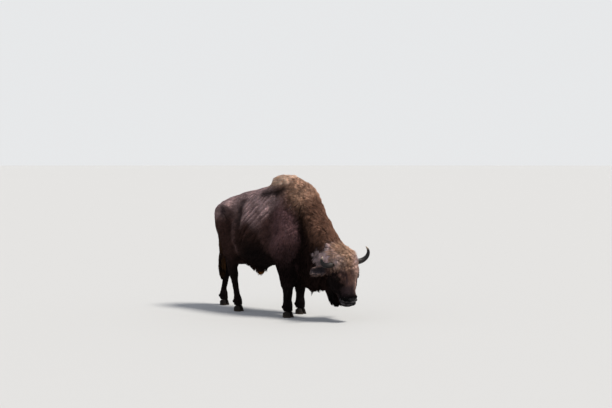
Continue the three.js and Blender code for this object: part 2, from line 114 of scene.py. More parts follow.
def noise(points, size, seed=0):
    """Smooth values from -1 to 1 that change over about size metres, by hashing the corners of a grid."""
    q = points / size + seed * 17.31
    cell = np.floor(q).astype(np.int64)
    t = q - cell
    t = t * t * (3 - 2 * t)
    total = np.zeros(len(points))
    for corner in itertools.product((0, 1), repeat=3):
        key = (cell + corner) @ np.array([73856093, 19349663, 83492791]) & 0x7FFFFFFF
        key = (key ^ (key >> 13)) * 1274126177 & 0x7FFFFFFF
        key = (key ^ (key >> 16)) & 0xFFFF
        total += np.prod(np.where(corner, t, 1 - t), axis=1) * (key / 32768 - 1)
    return total


# --- frames of reference

HEAD_TURN = Euler((math.radians(4), math.radians(-5), math.radians(-18)), "XYZ")
EYES_IN_HEAD = np.array([-0.0371, 0, -0.2099])  # the middle between the eyes
POLL_FROM_HUMP = np.array([0.925, -0.062, 0.722])  # from the floor under the hump
DOWN = np.array([0, 0, -1.0])
LEFT = np.array([1, 1, 1])
RIGHT = np.array([1, -1, 1])  # turns what is told for the left side into the right side's
SIDES = {"right": RIGHT, "left": LEFT}

eye_boxes = {side: np.array(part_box("eye_" + side)) for side in SIDES}
head_axes = np.array(HEAD_TURN.to_matrix())  # its columns are the head's +X, +Y and +Z
head_origin = np.mean([b.mean(0) for b in eye_boxes.values()], axis=0) - head_axes @ EYES_IN_HEAD
under_hump = head_origin - POLL_FROM_HUMP


def in_head(points):
    return (points - head_origin) @ head_axes


def from_head(points):
    return np.asarray(points) @ head_axes.T + head_origin


def mirrored(points):
    """The same places with both sides laid on the left one."""
    return points * [1, 0, 0] + np.abs(points) * [0, 1, 0] + points * [0, 0, 1]


# --- meshes


def placed(name, data):
    """A new object in the scene that shows the data."""
    piece = bpy.data.objects.new(name, data)
    bpy.context.scene.collection.objects.link(piece)
    return piece


def new_object(name, verts, faces, smooth=True):
    """A mesh object from vertices and a list of arrays of faces, each array with its own count of corners."""
    mesh = bpy.data.meshes.new(name)
    faces = [np.asarray(f) for f in faces if len(f)]
    counts = np.concatenate([np.full(len(f), f.shape[1]) for f in faces])
    corners = np.concatenate([f.ravel() for f in faces])
    mesh.vertices.add(len(verts))
    mesh.vertices.foreach_set("co", np.asarray(verts, np.float32).ravel())
    mesh.loops.add(len(corners))
    mesh.loops.foreach_set("vertex_index", corners.astype(np.int32))
    mesh.polygons.add(len(counts))
    mesh.polygons.foreach_set("loop_start", (np.cumsum(counts) - counts).astype(np.int32))
    mesh.polygons.foreach_set("use_smooth", np.full(len(counts), smooth))
    mesh.update(calc_edges=True)
    return placed(name, mesh)


def paint(mesh, colours):
    """Stores the linear colour that the materials read on each vertex."""
    layer = mesh.color_attributes.new("tint", "FLOAT_COLOR", "POINT")
    opaque = np.column_stack([colours, np.ones(len(colours))])
    layer.data.foreach_set("color", opaque.astype(np.float32).ravel())


def read(items, name, kind, width=1):
    found = np.empty(len(items) * width, kind)
    items.foreach_get(name, found)
    return found.reshape(-1, width) if width > 1 else found


def wear(piece, material):
    """Gives the piece its material and its body."""
    piece.data.materials.clear()
    piece.data.materials.append(material)
    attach(piece, "root")


def turn_outward(piece):
    """Turns the faces of a closed mesh so that they look out."""
    bm = bmesh.new()
    bm.from_mesh(piece.data)
    bmesh.ops.recalc_face_normals(bm, faces=bm.faces)
    bm.to_mesh(piece.data)
    bm.free()


def finish_closed(piece, tint, material):
    """Turns a closed piece's faces out and gives it its colours and its finish."""
    turn_outward(piece)
    paint(piece.data, tint)
    wear(piece, material)


def swept(rings, sides):
    """Faces of a tube of rings of vertices, closed by a fan round one more vertex at each end."""
    j = np.arange(sides)
    k = (j + 1) % sides
    quads = [np.column_stack([i * sides + j, i * sides + k, (i + 1) * sides + k, (i + 1) * sides + j])
             for i in range(rings - 1)]
    last, ends = (rings - 1) * sides, rings * sides
    return [
        np.concatenate(quads),
        np.column_stack([np.full(sides, ends), k, j]),
        np.column_stack([np.full(sides, ends + 1), last + j, last + k]),
    ]


def swept_piece(name, rings, ends, tint, material, node):
    """A closed piece through rings of places, with an end before the first and one after the last."""
    verts = np.vstack([rings.reshape(-1, 3), ends])
    piece = new_object(name, verts, swept(*rings.shape[:2]))
    finish_closed(piece, tint, material)
    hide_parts(node)


def round_tube(rings, sides):
    """Faces of a tube of rings that closes on itself."""
    i, j = (g.ravel() for g in np.meshgrid(np.arange(rings), np.arange(sides), indexing="ij"))
    u, v = (i + 1) % rings, (j + 1) % sides
    return [np.column_stack([i * sides + j, i * sides + v, u * sides + v, u * sides + j])]


PROFILE = {2: (0.8, 0.9), 3: (0.75, 1.0, 0.75), 4: (0.7, 1.0, 0.9, 0.6)}  # widths of a lock at its joints


def spikes(root, bend, tip, out, width, joints):
    """Vertices and faces of thin closed three-sided spikes, each bent over from its root to its tip."""
    n = len(root)
    verts = np.empty((n, joints * 3 + 1, 3))
    for k in range(joints):
        t = k / joints
        place = root * (1 - t) ** 2 + bend * (2 * t * (1 - t)) + tip * t**2
        along = unit((bend - root) * (1 - t) + (tip - bend) * t)
        aside = unit(np.cross(along, out))
        half = (width * PROFILE[joints][k] / 2)[:, None]
        verts[:, 3 * k] = place - aside * half
        verts[:, 3 * k + 1] = place + aside * half
        verts[:, 3 * k + 2] = place + np.cross(aside, along) * half * 0.5
    verts[:, -1] = tip
    sides = []
    for k in range(joints - 1):
        a, b = 3 * k, 3 * k + 3
        sides += [(a + 1, a + 2, b + 2, b + 1), (a + 2, a, b, b + 2), (a, a + 1, b + 1, b)]
    a, end = 3 * (joints - 1), 3 * joints
    ends = [(a + 1, a + 2, end), (a + 2, a, end), (a, a + 1, end), (0, 2, 1)]
    first = (np.arange(n) * (joints * 3 + 1))[:, None, None]
    return verts, (first + np.array(sides)).reshape(-1, 4), (first + np.array(ends)).reshape(-1, 3)


# --- materials


class Nodes:
    """A node tree that is written as calls."""

    def __init__(self, name):
        self.material = bpy.data.materials.new(name)
        self.material.use_nodes = True
        self.tree = self.material.node_tree
        self.shader = self.tree.nodes["Principled BSDF"]

    def add(self, kind, **values):
        """Adds a node. A value sets the input or, if there is none, the property of that name."""
        node = self.tree.nodes.new("ShaderNode" + kind)
        for name, value in values.items():
            title = name.replace("_", " ")
            socket = next((s for s in node.inputs if s.name.lower() == title and s.enabled), None)
            if isinstance(value, bpy.types.NodeSocket):
                self.tree.links.new(value, socket)
            elif socket is not None:
                socket.default_value = value
            else:
                setattr(node, name, value)
        return node

    def link(self, socket, name):
        self.tree.links.new(socket, self.shader.inputs[name])

    def set(self, **values):
        for name, value in values.items():
            self.shader.inputs[name.replace("_", " ")].default_value = value


def speckled(nodes, colour, scale, low, high, stretch=(1, 1, 1)):
    """The colour, darker and paler by a noise of that scale per metre, from low to high times."""
    place = nodes.add("TexCoord").outputs["Object"]
    where = nodes.add("Mapping", vector=place, scale=stretch).outputs[0]
    grain = nodes.add("TexNoise", vector=where, scale=scale, detail=4.0).outputs["Fac"]
    level = nodes.add("MapRange", value=grain, from_min=0.3, from_max=0.7, to_min=low, to_max=high)
    return nodes.add("VectorMath", operation="SCALE", vector=colour, scale=level.outputs[0]).outputs[0]


def tinted(name, grain, low, high, rough, specular, stretch=(1, 1, 1), bump=None):
    """A finish in the mesh's tint, speckled. A bump is its noise's scale, height, strength and stretch."""
    nodes = Nodes(name)
    tint = nodes.add("Attribute", attribute_name="tint").outputs["Color"]
    nodes.link(speckled(nodes, tint, grain, low, high, stretch), "Base Color")
    nodes.set(Roughness=rough, Specular_IOR_Level=specular)
    if bump:
        scale, distance, strength, stretch = bump
        place = nodes.add("TexCoord").outputs["Object"]
        where = nodes.add("Mapping", vector=place, scale=stretch).outputs[0]
        height = nodes.add("TexNoise", vector=where, scale=scale, detail=3.0).outputs["Fac"]
        raised = nodes.add("Bump", height=height, distance=distance, strength=strength)
        nodes.link(raised.outputs[0], "Normal")
    return nodes.material


def coat_material():
    return tinted("coat", 90, 0.82, 1.18, rough=0.9, specular=0.05)


def horn_material():
    return tinted("horn", 60, 0.75, 1.25, rough=0.42, specular=0.22, stretch=(1, 1, 0.4),
                  bump=(300, 0.001, 0.5, (1, 1, 0.3)))


def hoof_material():
    return tinted("hoof", 110, 0.6, 1.4, rough=0.7, specular=0.15, stretch=(1, 1, 0.25),
                  bump=(260, 0.0012, 0.6, (1, 1, 0.2)))


def eye_material():
    return tinted("eye", 500, 0.8, 1.2, rough=0.06, specular=0.05)


def lid_material():
    return tinted("lid", 300, 0.8, 1.2, rough=0.7, specular=0.10, bump=(700, 0.0006, 0.5, (1, 1, 1)))


def skin_material():
    """Short hair where the skin shows between the locks, and bare wet skin at the nose and lips."""
    nodes = Nodes("skin")
    tint = nodes.add("Attribute", attribute_name="tint").outputs["Color"]
    bare = nodes.add("Attribute", attribute_name="bare").outputs["Fac"]
    nodes.link(speckled(nodes, tint, 240, 0.7, 1.3, (1, 1, 0.3)), "Base Color")
    rough = nodes.add("MapRange", value=bare, to_min=0.9, to_max=0.38)
    nodes.link(rough.outputs[0], "Roughness")
    nodes.set(Specular_IOR_Level=0.14)
    place = nodes.add("TexCoord").outputs["Object"]
    where = nodes.add("Mapping", vector=place, scale=(1, 1, 0.35)).outputs[0]
    hairs = nodes.add("TexNoise", vector=where, scale=420.0, detail=3.0).outputs["Fac"]
    pebbles = nodes.add("TexVoronoi", vector=place, scale=260.0).outputs["Distance"]
    height = nodes.add("Mix", factor=bare, a=hairs, b=pebbles).outputs[0]
    bump = nodes.add("Bump", height=height, distance=0.0016, strength=0.6)
    nodes.link(bump.outputs[0], "Normal")
    return nodes.material


# --- camera, floor and light

VIEW_AZIMUTH = math.radians(42)
VIEW_DISTANCE = 13.095  # from the middle of the model, level
VIEW_ASIDE = 0.3231  # the middle of the picture is this far to the right of the model's middle
VIEW_HEIGHT = 1.75  # of the camera over the floor
VIEW_DROP = math.radians(2.0)  # the camera looks this far down
FIELD_OF_VIEW = 2 * math.atan(0.27370304)  # the picture is this wide on each side, at a distance of 1

right_way = Vector((math.cos(VIEW_AZIMUTH), math.sin(VIEW_AZIMUTH), 0))
camera_way = Vector((math.sin(VIEW_AZIMUTH), -math.cos(VIEW_AZIMUTH), 0))


def make_camera():
    lens = bpy.data.cameras.new("camera")
    lens.angle = FIELD_OF_VIEW
    lens.clip_end = 5000  # past the floor's far corners
    camera = placed("camera", lens)
    camera.location = camera_way * VIEW_DISTANCE + right_way * VIEW_ASIDE + Vector((0, 0, VIEW_HEIGHT))
    camera.rotation_euler = (math.pi / 2 - VIEW_DROP, 0, VIEW_AZIMUTH)
    bpy.context.scene.camera = camera


def cast_or_seen(tree, cast, seen):
    """One colour for soft light, and another for the camera and for what glossy and clear surfaces show."""
    path = tree.nodes.new("ShaderNodeLightPath")
    either = path.outputs["Is Camera Ray"]
    for name in ("Is Glossy Ray", "Is Transmission Ray"):
        most = tree.nodes.new("ShaderNodeMath")
        most.operation = "MAXIMUM"
        tree.links.new(either, most.inputs[0])
        tree.links.new(path.outputs[name], most.inputs[1])
        either = most.outputs[0]
    mixed = tree.nodes.new("ShaderNodeMixRGB")
    tree.links.new(either, mixed.inputs[0])
    mixed.inputs[1].default_value = cast
    mixed.inputs[2].default_value = seen
    return mixed.outputs[0]


FLOOR_REACH = 3000  # far enough to make the horizon
FLOOR_SEEN = (0.62, 0.62, 0.61, 1)
FLOOR_BOUNCE = (0.20, 0.195, 0.185, 1)  # how much soft light it throws back up
SKY_SEEN = (0.80, 0.81, 0.82, 1)
SKY_LIGHT = (0.36, 0.38, 0.43, 1)
SUN_STRENGTH = 3.3
SUN_COLOUR = (1.0, 0.96, 0.90)
SUN_SPREAD = math.radians(16)
SUN_WAY = right_way * 0.72 + camera_way * 0.32 + Vector((0, 0, 1.30))


def make_floor():
    corners = [(x * FLOOR_REACH, y * FLOOR_REACH, 0) for x, y in ((-1, -1), (1, -1), (1, 1), (-1, 1))]
    floor = new_object("floor", corners, [[(0, 1, 2, 3)]], smooth=False)
    nodes = Nodes("floor")
    nodes.link(cast_or_seen(nodes.tree, FLOOR_BOUNCE, FLOOR_SEEN), "Base Color")
    nodes.set(Roughness=0.9, Specular_IOR_Level=0.1)
    floor.data.materials.append(nodes.material)


def make_world():
    world = bpy.data.worlds.new("sky")
    bpy.context.scene.world = world
    world.use_nodes = True
    tree = world.node_tree
    back = tree.nodes["Background"]
    tree.links.new(cast_or_seen(tree, SKY_LIGHT, SKY_SEEN), back.inputs["Color"])
    back.inputs["Strength"].default_value = 1


def make_sun():
    sun = bpy.data.lights.new("sun", "SUN")
    sun.energy = SUN_STRENGTH
    sun.color = SUN_COLOUR
    sun.angle = SUN_SPREAD
    placed("sun", sun).rotation_euler = SUN_WAY.to_track_quat("Z", "Y").to_euler()


def make_stage():
    make_camera()
    make_floor()
    make_world()
    make_sun()
    bpy.context.scene.view_settings.view_transform = "Standard"


# --- skin: the bare form

VOXEL = 0.0127  # size of the squares of the bare form, before they are split
FLESH = [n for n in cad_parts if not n.startswith(("eye", "horn")) and "claw" not in n]


def outline(names):
    """The named CAD nodes as one: their vertices, their triangles, and which node each triangle is of."""
    verts, tris, owner, start = [], [], [], 0
    for i, name in enumerate(names):
        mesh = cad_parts[name].data
        mesh.calc_loop_triangles()
        verts.append(read(mesh.vertices, "co", np.float32, 3))
        tris.append(read(mesh.loop_triangles, "vertices", np.int32, 3) + start)
        owner.append(np.full(len(tris[-1]), i))
        start += len(verts[-1])
    return np.concatenate(verts), np.concatenate(tris), np.concatenate(owner)


def cad_tree():
    """The flesh's outline, for finding the nearest place on it, and which node each of its faces is of."""
    verts, tris, owner = outline(FLESH)
    return BVHTree.FromPolygons(verts.tolist(), tris.tolist()), owner


def nearest_nodes(points):
    """Which node of flesh is nearest to each point, as its place in the list of them."""
    tree, owner = cad_tree()
    return owner[[tree.find_nearest(p)[2] for p in points.tolist()]]


def run_together(names):
    """One closed mesh of small squares round the named CAD nodes."""
    verts, tris, _ = outline(names)
    rough = new_object("rough", verts, [tris])
    remesh = rough.modifiers.new("remesh", "REMESH")
    remesh.mode = "VOXEL"
    remesh.voxel_size = VOXEL
    graph = bpy.context.evaluated_depsgraph_get()
    mesh = bpy.data.meshes.new_from_object(rough.evaluated_get(graph))
    bpy.data.objects.remove(rough)
    return mesh


class Surface:
    """A mesh as arrays, with what is worked out from its neighbours."""

    def __init__(self, mesh):
        self.mesh = mesh
        self.at = read(mesh.vertices, "co", np.float32, 3).astype(float)
        mesh.calc_loop_triangles()
        self.tris = read(mesh.loop_triangles, "vertices", np.int32, 3)
        self.tri_loops = read(mesh.loop_triangles, "loops", np.int32, 3)
        edges = read(mesh.edges, "vertices", np.int32, 2)
        self.ends = np.concatenate([edges[:, 0], edges[:, 1]])
        self.others = np.concatenate([edges[:, 1], edges[:, 0]])
        self.valence = np.maximum(np.bincount(self.ends, minlength=len(self.at)), 1)

    def around(self, values):
        """The mean of each vertex's neighbours."""
        if values.ndim == 1:
            return np.bincount(self.ends, values[self.others], len(self.at)) / self.valence
        return np.column_stack([self.around(column) for column in values.T])

    def spread(self, values, rounds):
        for _ in range(rounds):
            values = (values + self.around(values)) / 2
        return values

    def relax(self, rounds, share):
        """Takes out facets and dents without shrinking the form, by a share per vertex."""
        for _ in range(rounds):
            for step in (0.5, -0.53):
                move = step * (self.around(self.at) - self.at)
                self.at = self.at + move * share[:, None]

    def normals(self):
        a, b, c = (self.at[self.tris[:, i]] for i in range(3))
        cross = np.cross(b - a, c - a)
        total = np.zeros_like(self.at)
        for i in range(3):
            for axis in range(3):
                total[:, axis] += np.bincount(self.tris[:, i], cross[:, axis], len(self.at))
        return unit(total)

    def tree(self):
        """For finding places on it."""
        return BVHTree.FromPolygons(self.at.tolist(), self.tris.tolist())

    def store(self):
        self.mesh.vertices.foreach_set("co", self.at.astype(np.float32).ravel())
        self.mesh.update()


def refine(mesh, wanted):
    """Splits in four the faces whose corners all lie where wanted says."""
    bm = bmesh.new()
    bm.from_mesh(mesh)
    flags = wanted(np.array([v.co[:] for v in bm.verts]))
    edges = {e for f in bm.faces if all(flags[v.index] for v in f.verts) for e in f.edges}
    bmesh.ops.subdivide_edges(bm, edges=list(edges), cuts=1, use_grid_fill=True)
    bm.to_mesh(mesh)
    bm.free()


FINE = [  # spots on the left of the face, in the head's frame, and how far round them the skin is finest
    ((-0.0371, 0.133, -0.2099), 0.055),  # eye
    ((-0.01, 0.045, -0.455), 0.065),  # nostril
    ((-0.03, 0.03, -0.515), 0.065),  # lower lip
    ((-0.10, 0.08, -0.460), 0.060),  # corner of the mouth
]


def of_kind(points, words):
    """Which points are nearest to a CAD node that has one of the words in its name."""
    named = [i for i, name in enumerate(FLESH) if any(word in name for word in words)]
    return np.isin(nearest_nodes(points), named)


def at_detail(points):
    h = in_head(points)
    face = of_kind(points, ["head"]) & (h[:, 0] > -0.25)
    return face | of_kind(points, ["ear", "lower"]) & (points[:, 2] > 0.02)


def at_fine_detail(points):
    h = mirrored(in_head(points))
    return np.any([np.linalg.norm(h - spot, axis=1) < reach for spot, reach in FINE], axis=0)


def unwrap(piece):
    """Lays the skin out flat, as the map that the coat's locks are placed on."""
    bpy.context.view_layer.objects.active = piece
    piece.select_set(True)
    piece.data.uv_layers.new(name="OFBake")
    bpy.ops.object.mode_set(mode="EDIT")
    bpy.ops.mesh.select_all(action="SELECT")
    bpy.ops.uv.smart_project(angle_limit=math.radians(60), island_margin=0.003)
    bpy.ops.object.mode_set(mode="OBJECT")


def thickness(surface):
    """How far it is straight through the form at each vertex."""
    tree = surface.tree()
    through = np.empty(len(surface.at))
    inward = -surface.normals()
    for i, (p, d) in enumerate(zip((surface.at + inward * 0.002).tolist(), inward.tolist())):
        hit = tree.ray_cast(p, d)
        through[i] = hit[3] if hit[0] else 1.0
    return through


# --- regions of the body

EAR_ROOT = np.array([-0.180, 0.125, -0.095])  # on the left, in the head's frame
EAR_ALONG = np.array([-0.585, 0.806, -0.087])
EAR_OPEN = np.array([0.809, 0.588, 0.0])  # the way the ear's hollow faces
EAR_LONG = 0.24

# Words in the names of the CAD's nodes, and how many rings of neighbours each part fades over.
PARTS = {"trunk": 14, "neck": 14, "head": 12, "tail_tuft": 14, "tail": 4, "ear": 3, "foreleg": 14,
         "hind_leg": 14, "lower": 14}


class Body:
    """The skin's vertices told in every way that the fields below need."""

    def __init__(self, surface):
        self.at = surface.at.copy()
        self.tree = surface.tree()
        self.out = surface.normals()
        self.here = self.at - under_hump
        self.x, self.y, self.z = self.here.T
        self.side = np.column_stack([self.x, self.z])
        self.head = in_head(self.at)
        self.face = mirrored(self.head)
        self.own_side = np.where(self.head[:, 1:2] < 0, RIGHT, LEFT)
        owner = nearest_nodes(self.at)
        self.share = {}
        for part, rounds in PARTS.items():
            members = [i for i, n in enumerate(FLESH) if n == part or part != "tail" and part in n]
            self.share[part] = surface.spread(np.isin(owner, members).astype(float), rounds)
        self.ear_level = (self.face - EAR_ROOT) @ EAR_ALONG / EAR_LONG
        self.ear_aside = self.face[:, 2] - EAR_ROOT[2] + 0.02 * self.ear_level
        facing = (self.out @ head_axes * self.own_side) @ EAR_OPEN
        self.ear_open = rise(facing, 0.0, 0.6) * self.share["ear"]

    def on(self, part):
        return self.share[part]


# Lines that coat and markings share, from under the hump: (x, z), or (x, y, z).
CREST = [(-0.1, 1.58), (0.2, 1.5), (0.5, 1.12), (0.75, 0.9)]  # the top of hump and neck
SHEATH = [(-0.60, 0, 0.63), (-0.50, 0, 0.56), (-0.455, 0, 0.48)]
# In the head's frame: the pale hair behind the left horn, and where the crown's hair parts.
SHOCK = [(-0.07, 0.06, 0.085), (-0.14, 0.12, 0.080), (-0.20, 0.165, 0.07), (-0.24, 0.185, 0.06)]
PARTING = [(-0.10, -0.010, 0.080), (-0.06, 0.045, 0.075), (-0.05, 0.110, 0.030)]


def regions_of(body):
    """How much each kind of coat covers each vertex. Later kinds lie over earlier ones."""
    x, z, h = body.x, body.z, body.head
    trunk, neck, head, ear = (body.on(part) for part in ("trunk", "neck", "head", "ear"))
    fore, hind = body.on("foreleg"), body.on("hind_leg")
    tuft = stroke(body.here, [(-0.17, 0, 1.57), (-0.08, 0, 1.59), (0.06, 0, 1.585)], 0.075)
    brow = h[:, 2] + 0.05 * noise(body.at, 0.04, 16)
    ear_edge = np.maximum(rise(body.ear_aside, -0.016, -0.032), rise(body.ear_level, 0.80, 0.95))
    kinds = {
        "rear": np.ones(len(x)),
        "belly": rise(z, 0.78, 0.62) * rise(x, -1.0, -0.8) * trunk,
        "shoulder": rise(x, -0.25, 0.05) * np.maximum(trunk, fore),
        "hump": stroke(body.side, CREST, 0.17) * rise(x, -0.2, -0.05) * rise(z, 1.2, 1.38),
        "neck": neck,
        "mane": neck * rise(z, 0.80, 0.62),
        "hind": hind * rise(z, 1.05, 0.8),
        "arm": fore * rise(z, 0.85, 0.68),
        "shank": body.on("lower"),
        "pastern": rise(z, 0.17, 0.11),
        "head": head,
        "crown": head * rise(brow, -0.24, -0.04) * rise(h[:, 0], -0.26, -0.16),
        "beard": head * rise(h[:, 0], -0.17, -0.23) * rise(h[:, 2], -0.24, -0.32),
        "muzzle": head * rise(h[:, 2], -0.40, -0.46) * rise(h[:, 0], -0.2, -0.15),
        "shock": rise(stroke(body.face, SHOCK, 0.085), 0.35, 0.7) * (1 - ear),
        "ear": ear,
        "fringe": rise(ear, 0.5, 0.9) * ear_edge,
        "tuft": rise(tuft, 0.3, 0.75) * trunk,
        "sheath": rise(x, -0.80, -0.50) * rise(x, -0.36, -0.43) * rise(np.abs(body.y), 0.13, 0.05)
        * rise(body.out[:, 2], 0.1, -0.4) * rise(z, 0.80, 0.70) * trunk,
        "tail": body.on("tail"),
        "switch": body.on("tail_tuft"),
    }
    left = np.ones(len(x))
    shares = {}
    for name in reversed(kinds):
        shares[name] = kinds[name] * left
        left = left * (1 - kinds[name])
    return shares


# Each kind of coat: how long its locks are, how wide, how deep the coat is, how far apart the locks'
# roots are, how far they stray from their way in degrees, how curly they are, how free of the skin their
# tips are, how much they hang, how far apart the locks that lead others are, how much the others' tips
# are drawn to theirs, how far their tips may reach past the CAD's outline, and how many joints they have.
COATS = {
    "rear": (0.044, 0.0082, 0.010, 0.0082, 16, 0.05, 0.0, 0.0, 0.020, 0.30, 0.004, 2),
    "belly": (0.075, 0.0095, 0.018, 0.0090, 18, 0.10, 0.5, 0.5, 0.030, 0.40, 0.004, 2),
    "shoulder": (0.070, 0.0080, 0.018, 0.0078, 20, 0.14, 0.0, 0.0, 0.030, 0.45, 0.004, 2),
    "hump": (0.070, 0.0076, 0.022, 0.0072, 24, 0.24, 0.1, 0.0, 0.030, 0.50, 0.004, 2),
    "neck": (0.080, 0.0078, 0.024, 0.0072, 20, 0.24, 0.1, 0.1, 0.034, 0.55, 0.004, 3),
    "mane": (0.170, 0.0098, 0.050, 0.0084, 14, 0.18, 1.0, 1.0, 0.045, 0.60, 0.010, 4),
    "hind": (0.040, 0.0078, 0.009, 0.0078, 14, 0.05, 0.0, 0.0, 0.018, 0.25, 0.004, 2),
    "arm": (0.080, 0.0100, 0.022, 0.0086, 16, 0.15, 0.5, 0.6, 0.035, 0.50, 0.004, 3),
    "shank": (0.024, 0.0060, 0.0045, 0.0062, 12, 0.05, 0.0, 0.0, 0.014, 0.20, 0.004, 2),
    "pastern": (0.026, 0.0052, 0.0045, 0.0050, 14, 0.08, 0.4, 0.7, 0.016, 0.30, 0.012, 2),
    "head": (0.024, 0.0052, 0.005, 0.0055, 16, 0.08, 0.0, 0.0, 0.014, 0.30, 0.004, 2),
    "crown": (0.078, 0.0050, 0.026, 0.0051, 30, 0.40, 0.3, 0.0, 0.026, 0.60, 0.004, 3),
    "beard": (0.140, 0.0100, 0.048, 0.0080, 12, 0.15, 1.0, 1.0, 0.040, 0.60, 0.004, 4),
    "muzzle": (0.010, 0.0030, 0.0020, 0.0050, 20, 0.05, 0.0, 0.0, 0.010, 0.10, 0.004, 2),
    "ear": (0.036, 0.0056, 0.006, 0.0058, 18, 0.10, 0.3, 0.2, 0.016, 0.40, 0.004, 2),
    "fringe": (0.075, 0.0056, 0.008, 0.0052, 22, 0.20, 1.0, 0.5, 0.022, 0.60, 0.030, 2),
    "shock": (0.140, 0.0060, 0.030, 0.0062, 20, 0.30, 0.8, 0.10, 0.032, 0.60, 0.008, 4),
    "tuft": (0.090, 0.0060, 0.026, 0.0052, 56, 0.90, 1.0, 0.0, 0.022, 0.45, 0.016, 4),
    "sheath": (0.100, 0.0080, 0.026, 0.0074, 14, 0.15, 1.0, 1.0, 0.030, 0.50, 0.050, 3),
    "tail": (0.045, 0.0070, 0.009, 0.0072, 14, 0.08, 0.3, 0.5, 0.020, 0.40, 0.004, 2),
    "switch": (0.180, 0.0085, 0.026, 0.0070, 10, 0.18, 1.0, 1.0, 0.035, 0.60, 0.008, 4),
}
TRAITS = ("length", "width", "depth", "spacing", "stray", "curl", "free", "hang", "apart", "gather",
          "past", "joints")


def traits_of(shares):
    return {trait: sum(shares[kind] * values[i] for kind, values in COATS.items())
            for i, trait in enumerate(TRAITS)}


SWIRL = math.radians(22)  # how far the crown's hair turns aside as it leaves the parting


def lie_of(body, shares):
    """The way the hair runs at each vertex, not yet laid along the skin."""
    head_x, head_y, head_z = head_axes.T
    outward = np.sign(body.head[:, 1:2]) * head_y
    aside = rise(np.abs(body.head[:, 1:2]), 0, 0.08) * outward
    ear = EAR_ALONG * body.own_side @ head_axes.T
    parted = unit(from_line(body.head, PARTING)) @ head_axes.T
    swirl = (SWIRL + 1.1 * noise(body.at, 0.045, 31))[:, None]
    parted = parted * np.cos(swirl) + np.cross(body.out, parted) * np.sin(swirl)
    ways = {
        "rear": np.array([-1, 0, -0.62]),
        "belly": np.array([-1, 0, -0.5]),
        "shoulder": np.array([-0.55, 0, -1]),
        "hump": np.array([-0.7, 0, -0.75]),
        "neck": np.array([-0.35, 0, -1]),
        "mane": np.array([-0.12, 0, -1]),
        "arm": np.array([-0.12, 0, -1]),
        "head": -head_z * 0.8 - head_x * 0.35 + aside * 0.3,
        "crown": parted + DOWN * 0.25 - head_x * 0.15,
        "beard": DOWN - head_x * 0.15,
        "muzzle": -head_z * 0.6 + aside * 0.6,
        "shock": -head_x * 0.95 + outward * 0.35 - head_z * 0.22,
        "ear": ear + DOWN * 0.2 * rise(body.ear_aside[:, None], 0.01, -0.02),
        "fringe": ear + DOWN * 0.5,
        "tuft": np.array([-1, 0, 0.35]),
    }
    total = sum(shares[kind][:, None] * unit(np.broadcast_to(ways.get(kind, DOWN), body.at.shape))
                for kind in COATS)
    ridge = rise(body.out @ np.array([0.79, 0, 0.61]), 0.5, 0.95) * stroke(body.side, CREST, 0.15)
    total = total + 2.4 * (ridge * (1 - body.on("head")))[:, None] * np.array([-0.62, 0, 0.78])
    for side in SIDES:  # away from the eyes, all round them
        away = body.at - eye_frame(side)[0]
        near = bell(np.linalg.norm(away, axis=1), 0.038)
        total = total + 2.5 * near[:, None] * unit(away)
    return total


# --- relief

HOOK = [(-0.88, 1.30), (-0.79, 1.255), (-0.745, 1.20)]  # the hook bone
FOLD = [(-0.745, 1.20), (-0.70, 1.02), (-0.62, 0.82), (-0.55, 0.66)]  # from the hook down to the stifle
HOLLOW_FRONT = [(-0.64, 1.33), (-0.675, 1.20), (-0.61, 1.02), (-0.53, 0.84)]
HOLLOW_BEHIND = [(-0.90, 1.23), (-0.84, 1.14), (-0.785, 0.98), (-0.70, 0.80)]

# Bones and hollows of the trunk and haunch, seen from the side: (x, z) from under the hump, radius, height.
SIDE_RELIEF = [
    (HOOK, 0.036, 0.020),
    (FOLD, 0.040, 0.009),
    (HOLLOW_FRONT[:3], 0.050, -0.026),
    (HOLLOW_BEHIND[:3], 0.048, -0.024),
    ([(-0.60, 1.00), (-0.54, 0.84)], 0.060, -0.008),  # lower flank
    ([(-0.62, 1.30), (-0.52, 1.36), (-0.40, 1.39)], 0.040, -0.010),  # beside the loin
    ([(-0.64, 0.84), (-0.52, 0.72)], 0.050, 0.008),  # skin of the stifle's fold
    ([(-1.01, 1.235), (-1.13, 1.15)], 0.040, 0.012),  # pin bone
    ([(-0.95, 1.10), (-0.88, 0.88)], 0.055, 0.010),  # thigh
    ([(-0.03, 1.40), (-0.07, 1.20), (-0.06, 0.92)], 0.055, -0.016),  # behind the shoulder
    ([(0.08, 1.42), (0.13, 1.20), (0.20, 1.00)], 0.050, 0.016),  # ridge of the shoulder blade
    ([(0.20, 1.00), (0.02, 0.84)], 0.070, 0.014),  # muscle of the upper arm
    ([(0.33, 1.24), (0.37, 0.92), (0.31, 0.66)], 0.050, -0.026),  # between shoulder and neck
    ([(-0.15, 1.495), (-0.02, 1.525), (0.09, 1.53)], 0.040, -0.012),  # under the tuft
    ([(0.02, 0.74), (0.06, 0.60)], 0.050, 0.010),  # forearm
]
RIB_PITCH = 0.088
RIB_HEIGHT = 0.0095
SPINE = [(-0.25, 0, 1.47), (-0.7, 0, 1.41), (-1.12, 0, 1.25)]
SPINE_HEIGHT = 0.005
CREASE_PITCH = 0.050
CREASE_HEIGHT = 0.0022
EAR_HOLLOW = 0.014

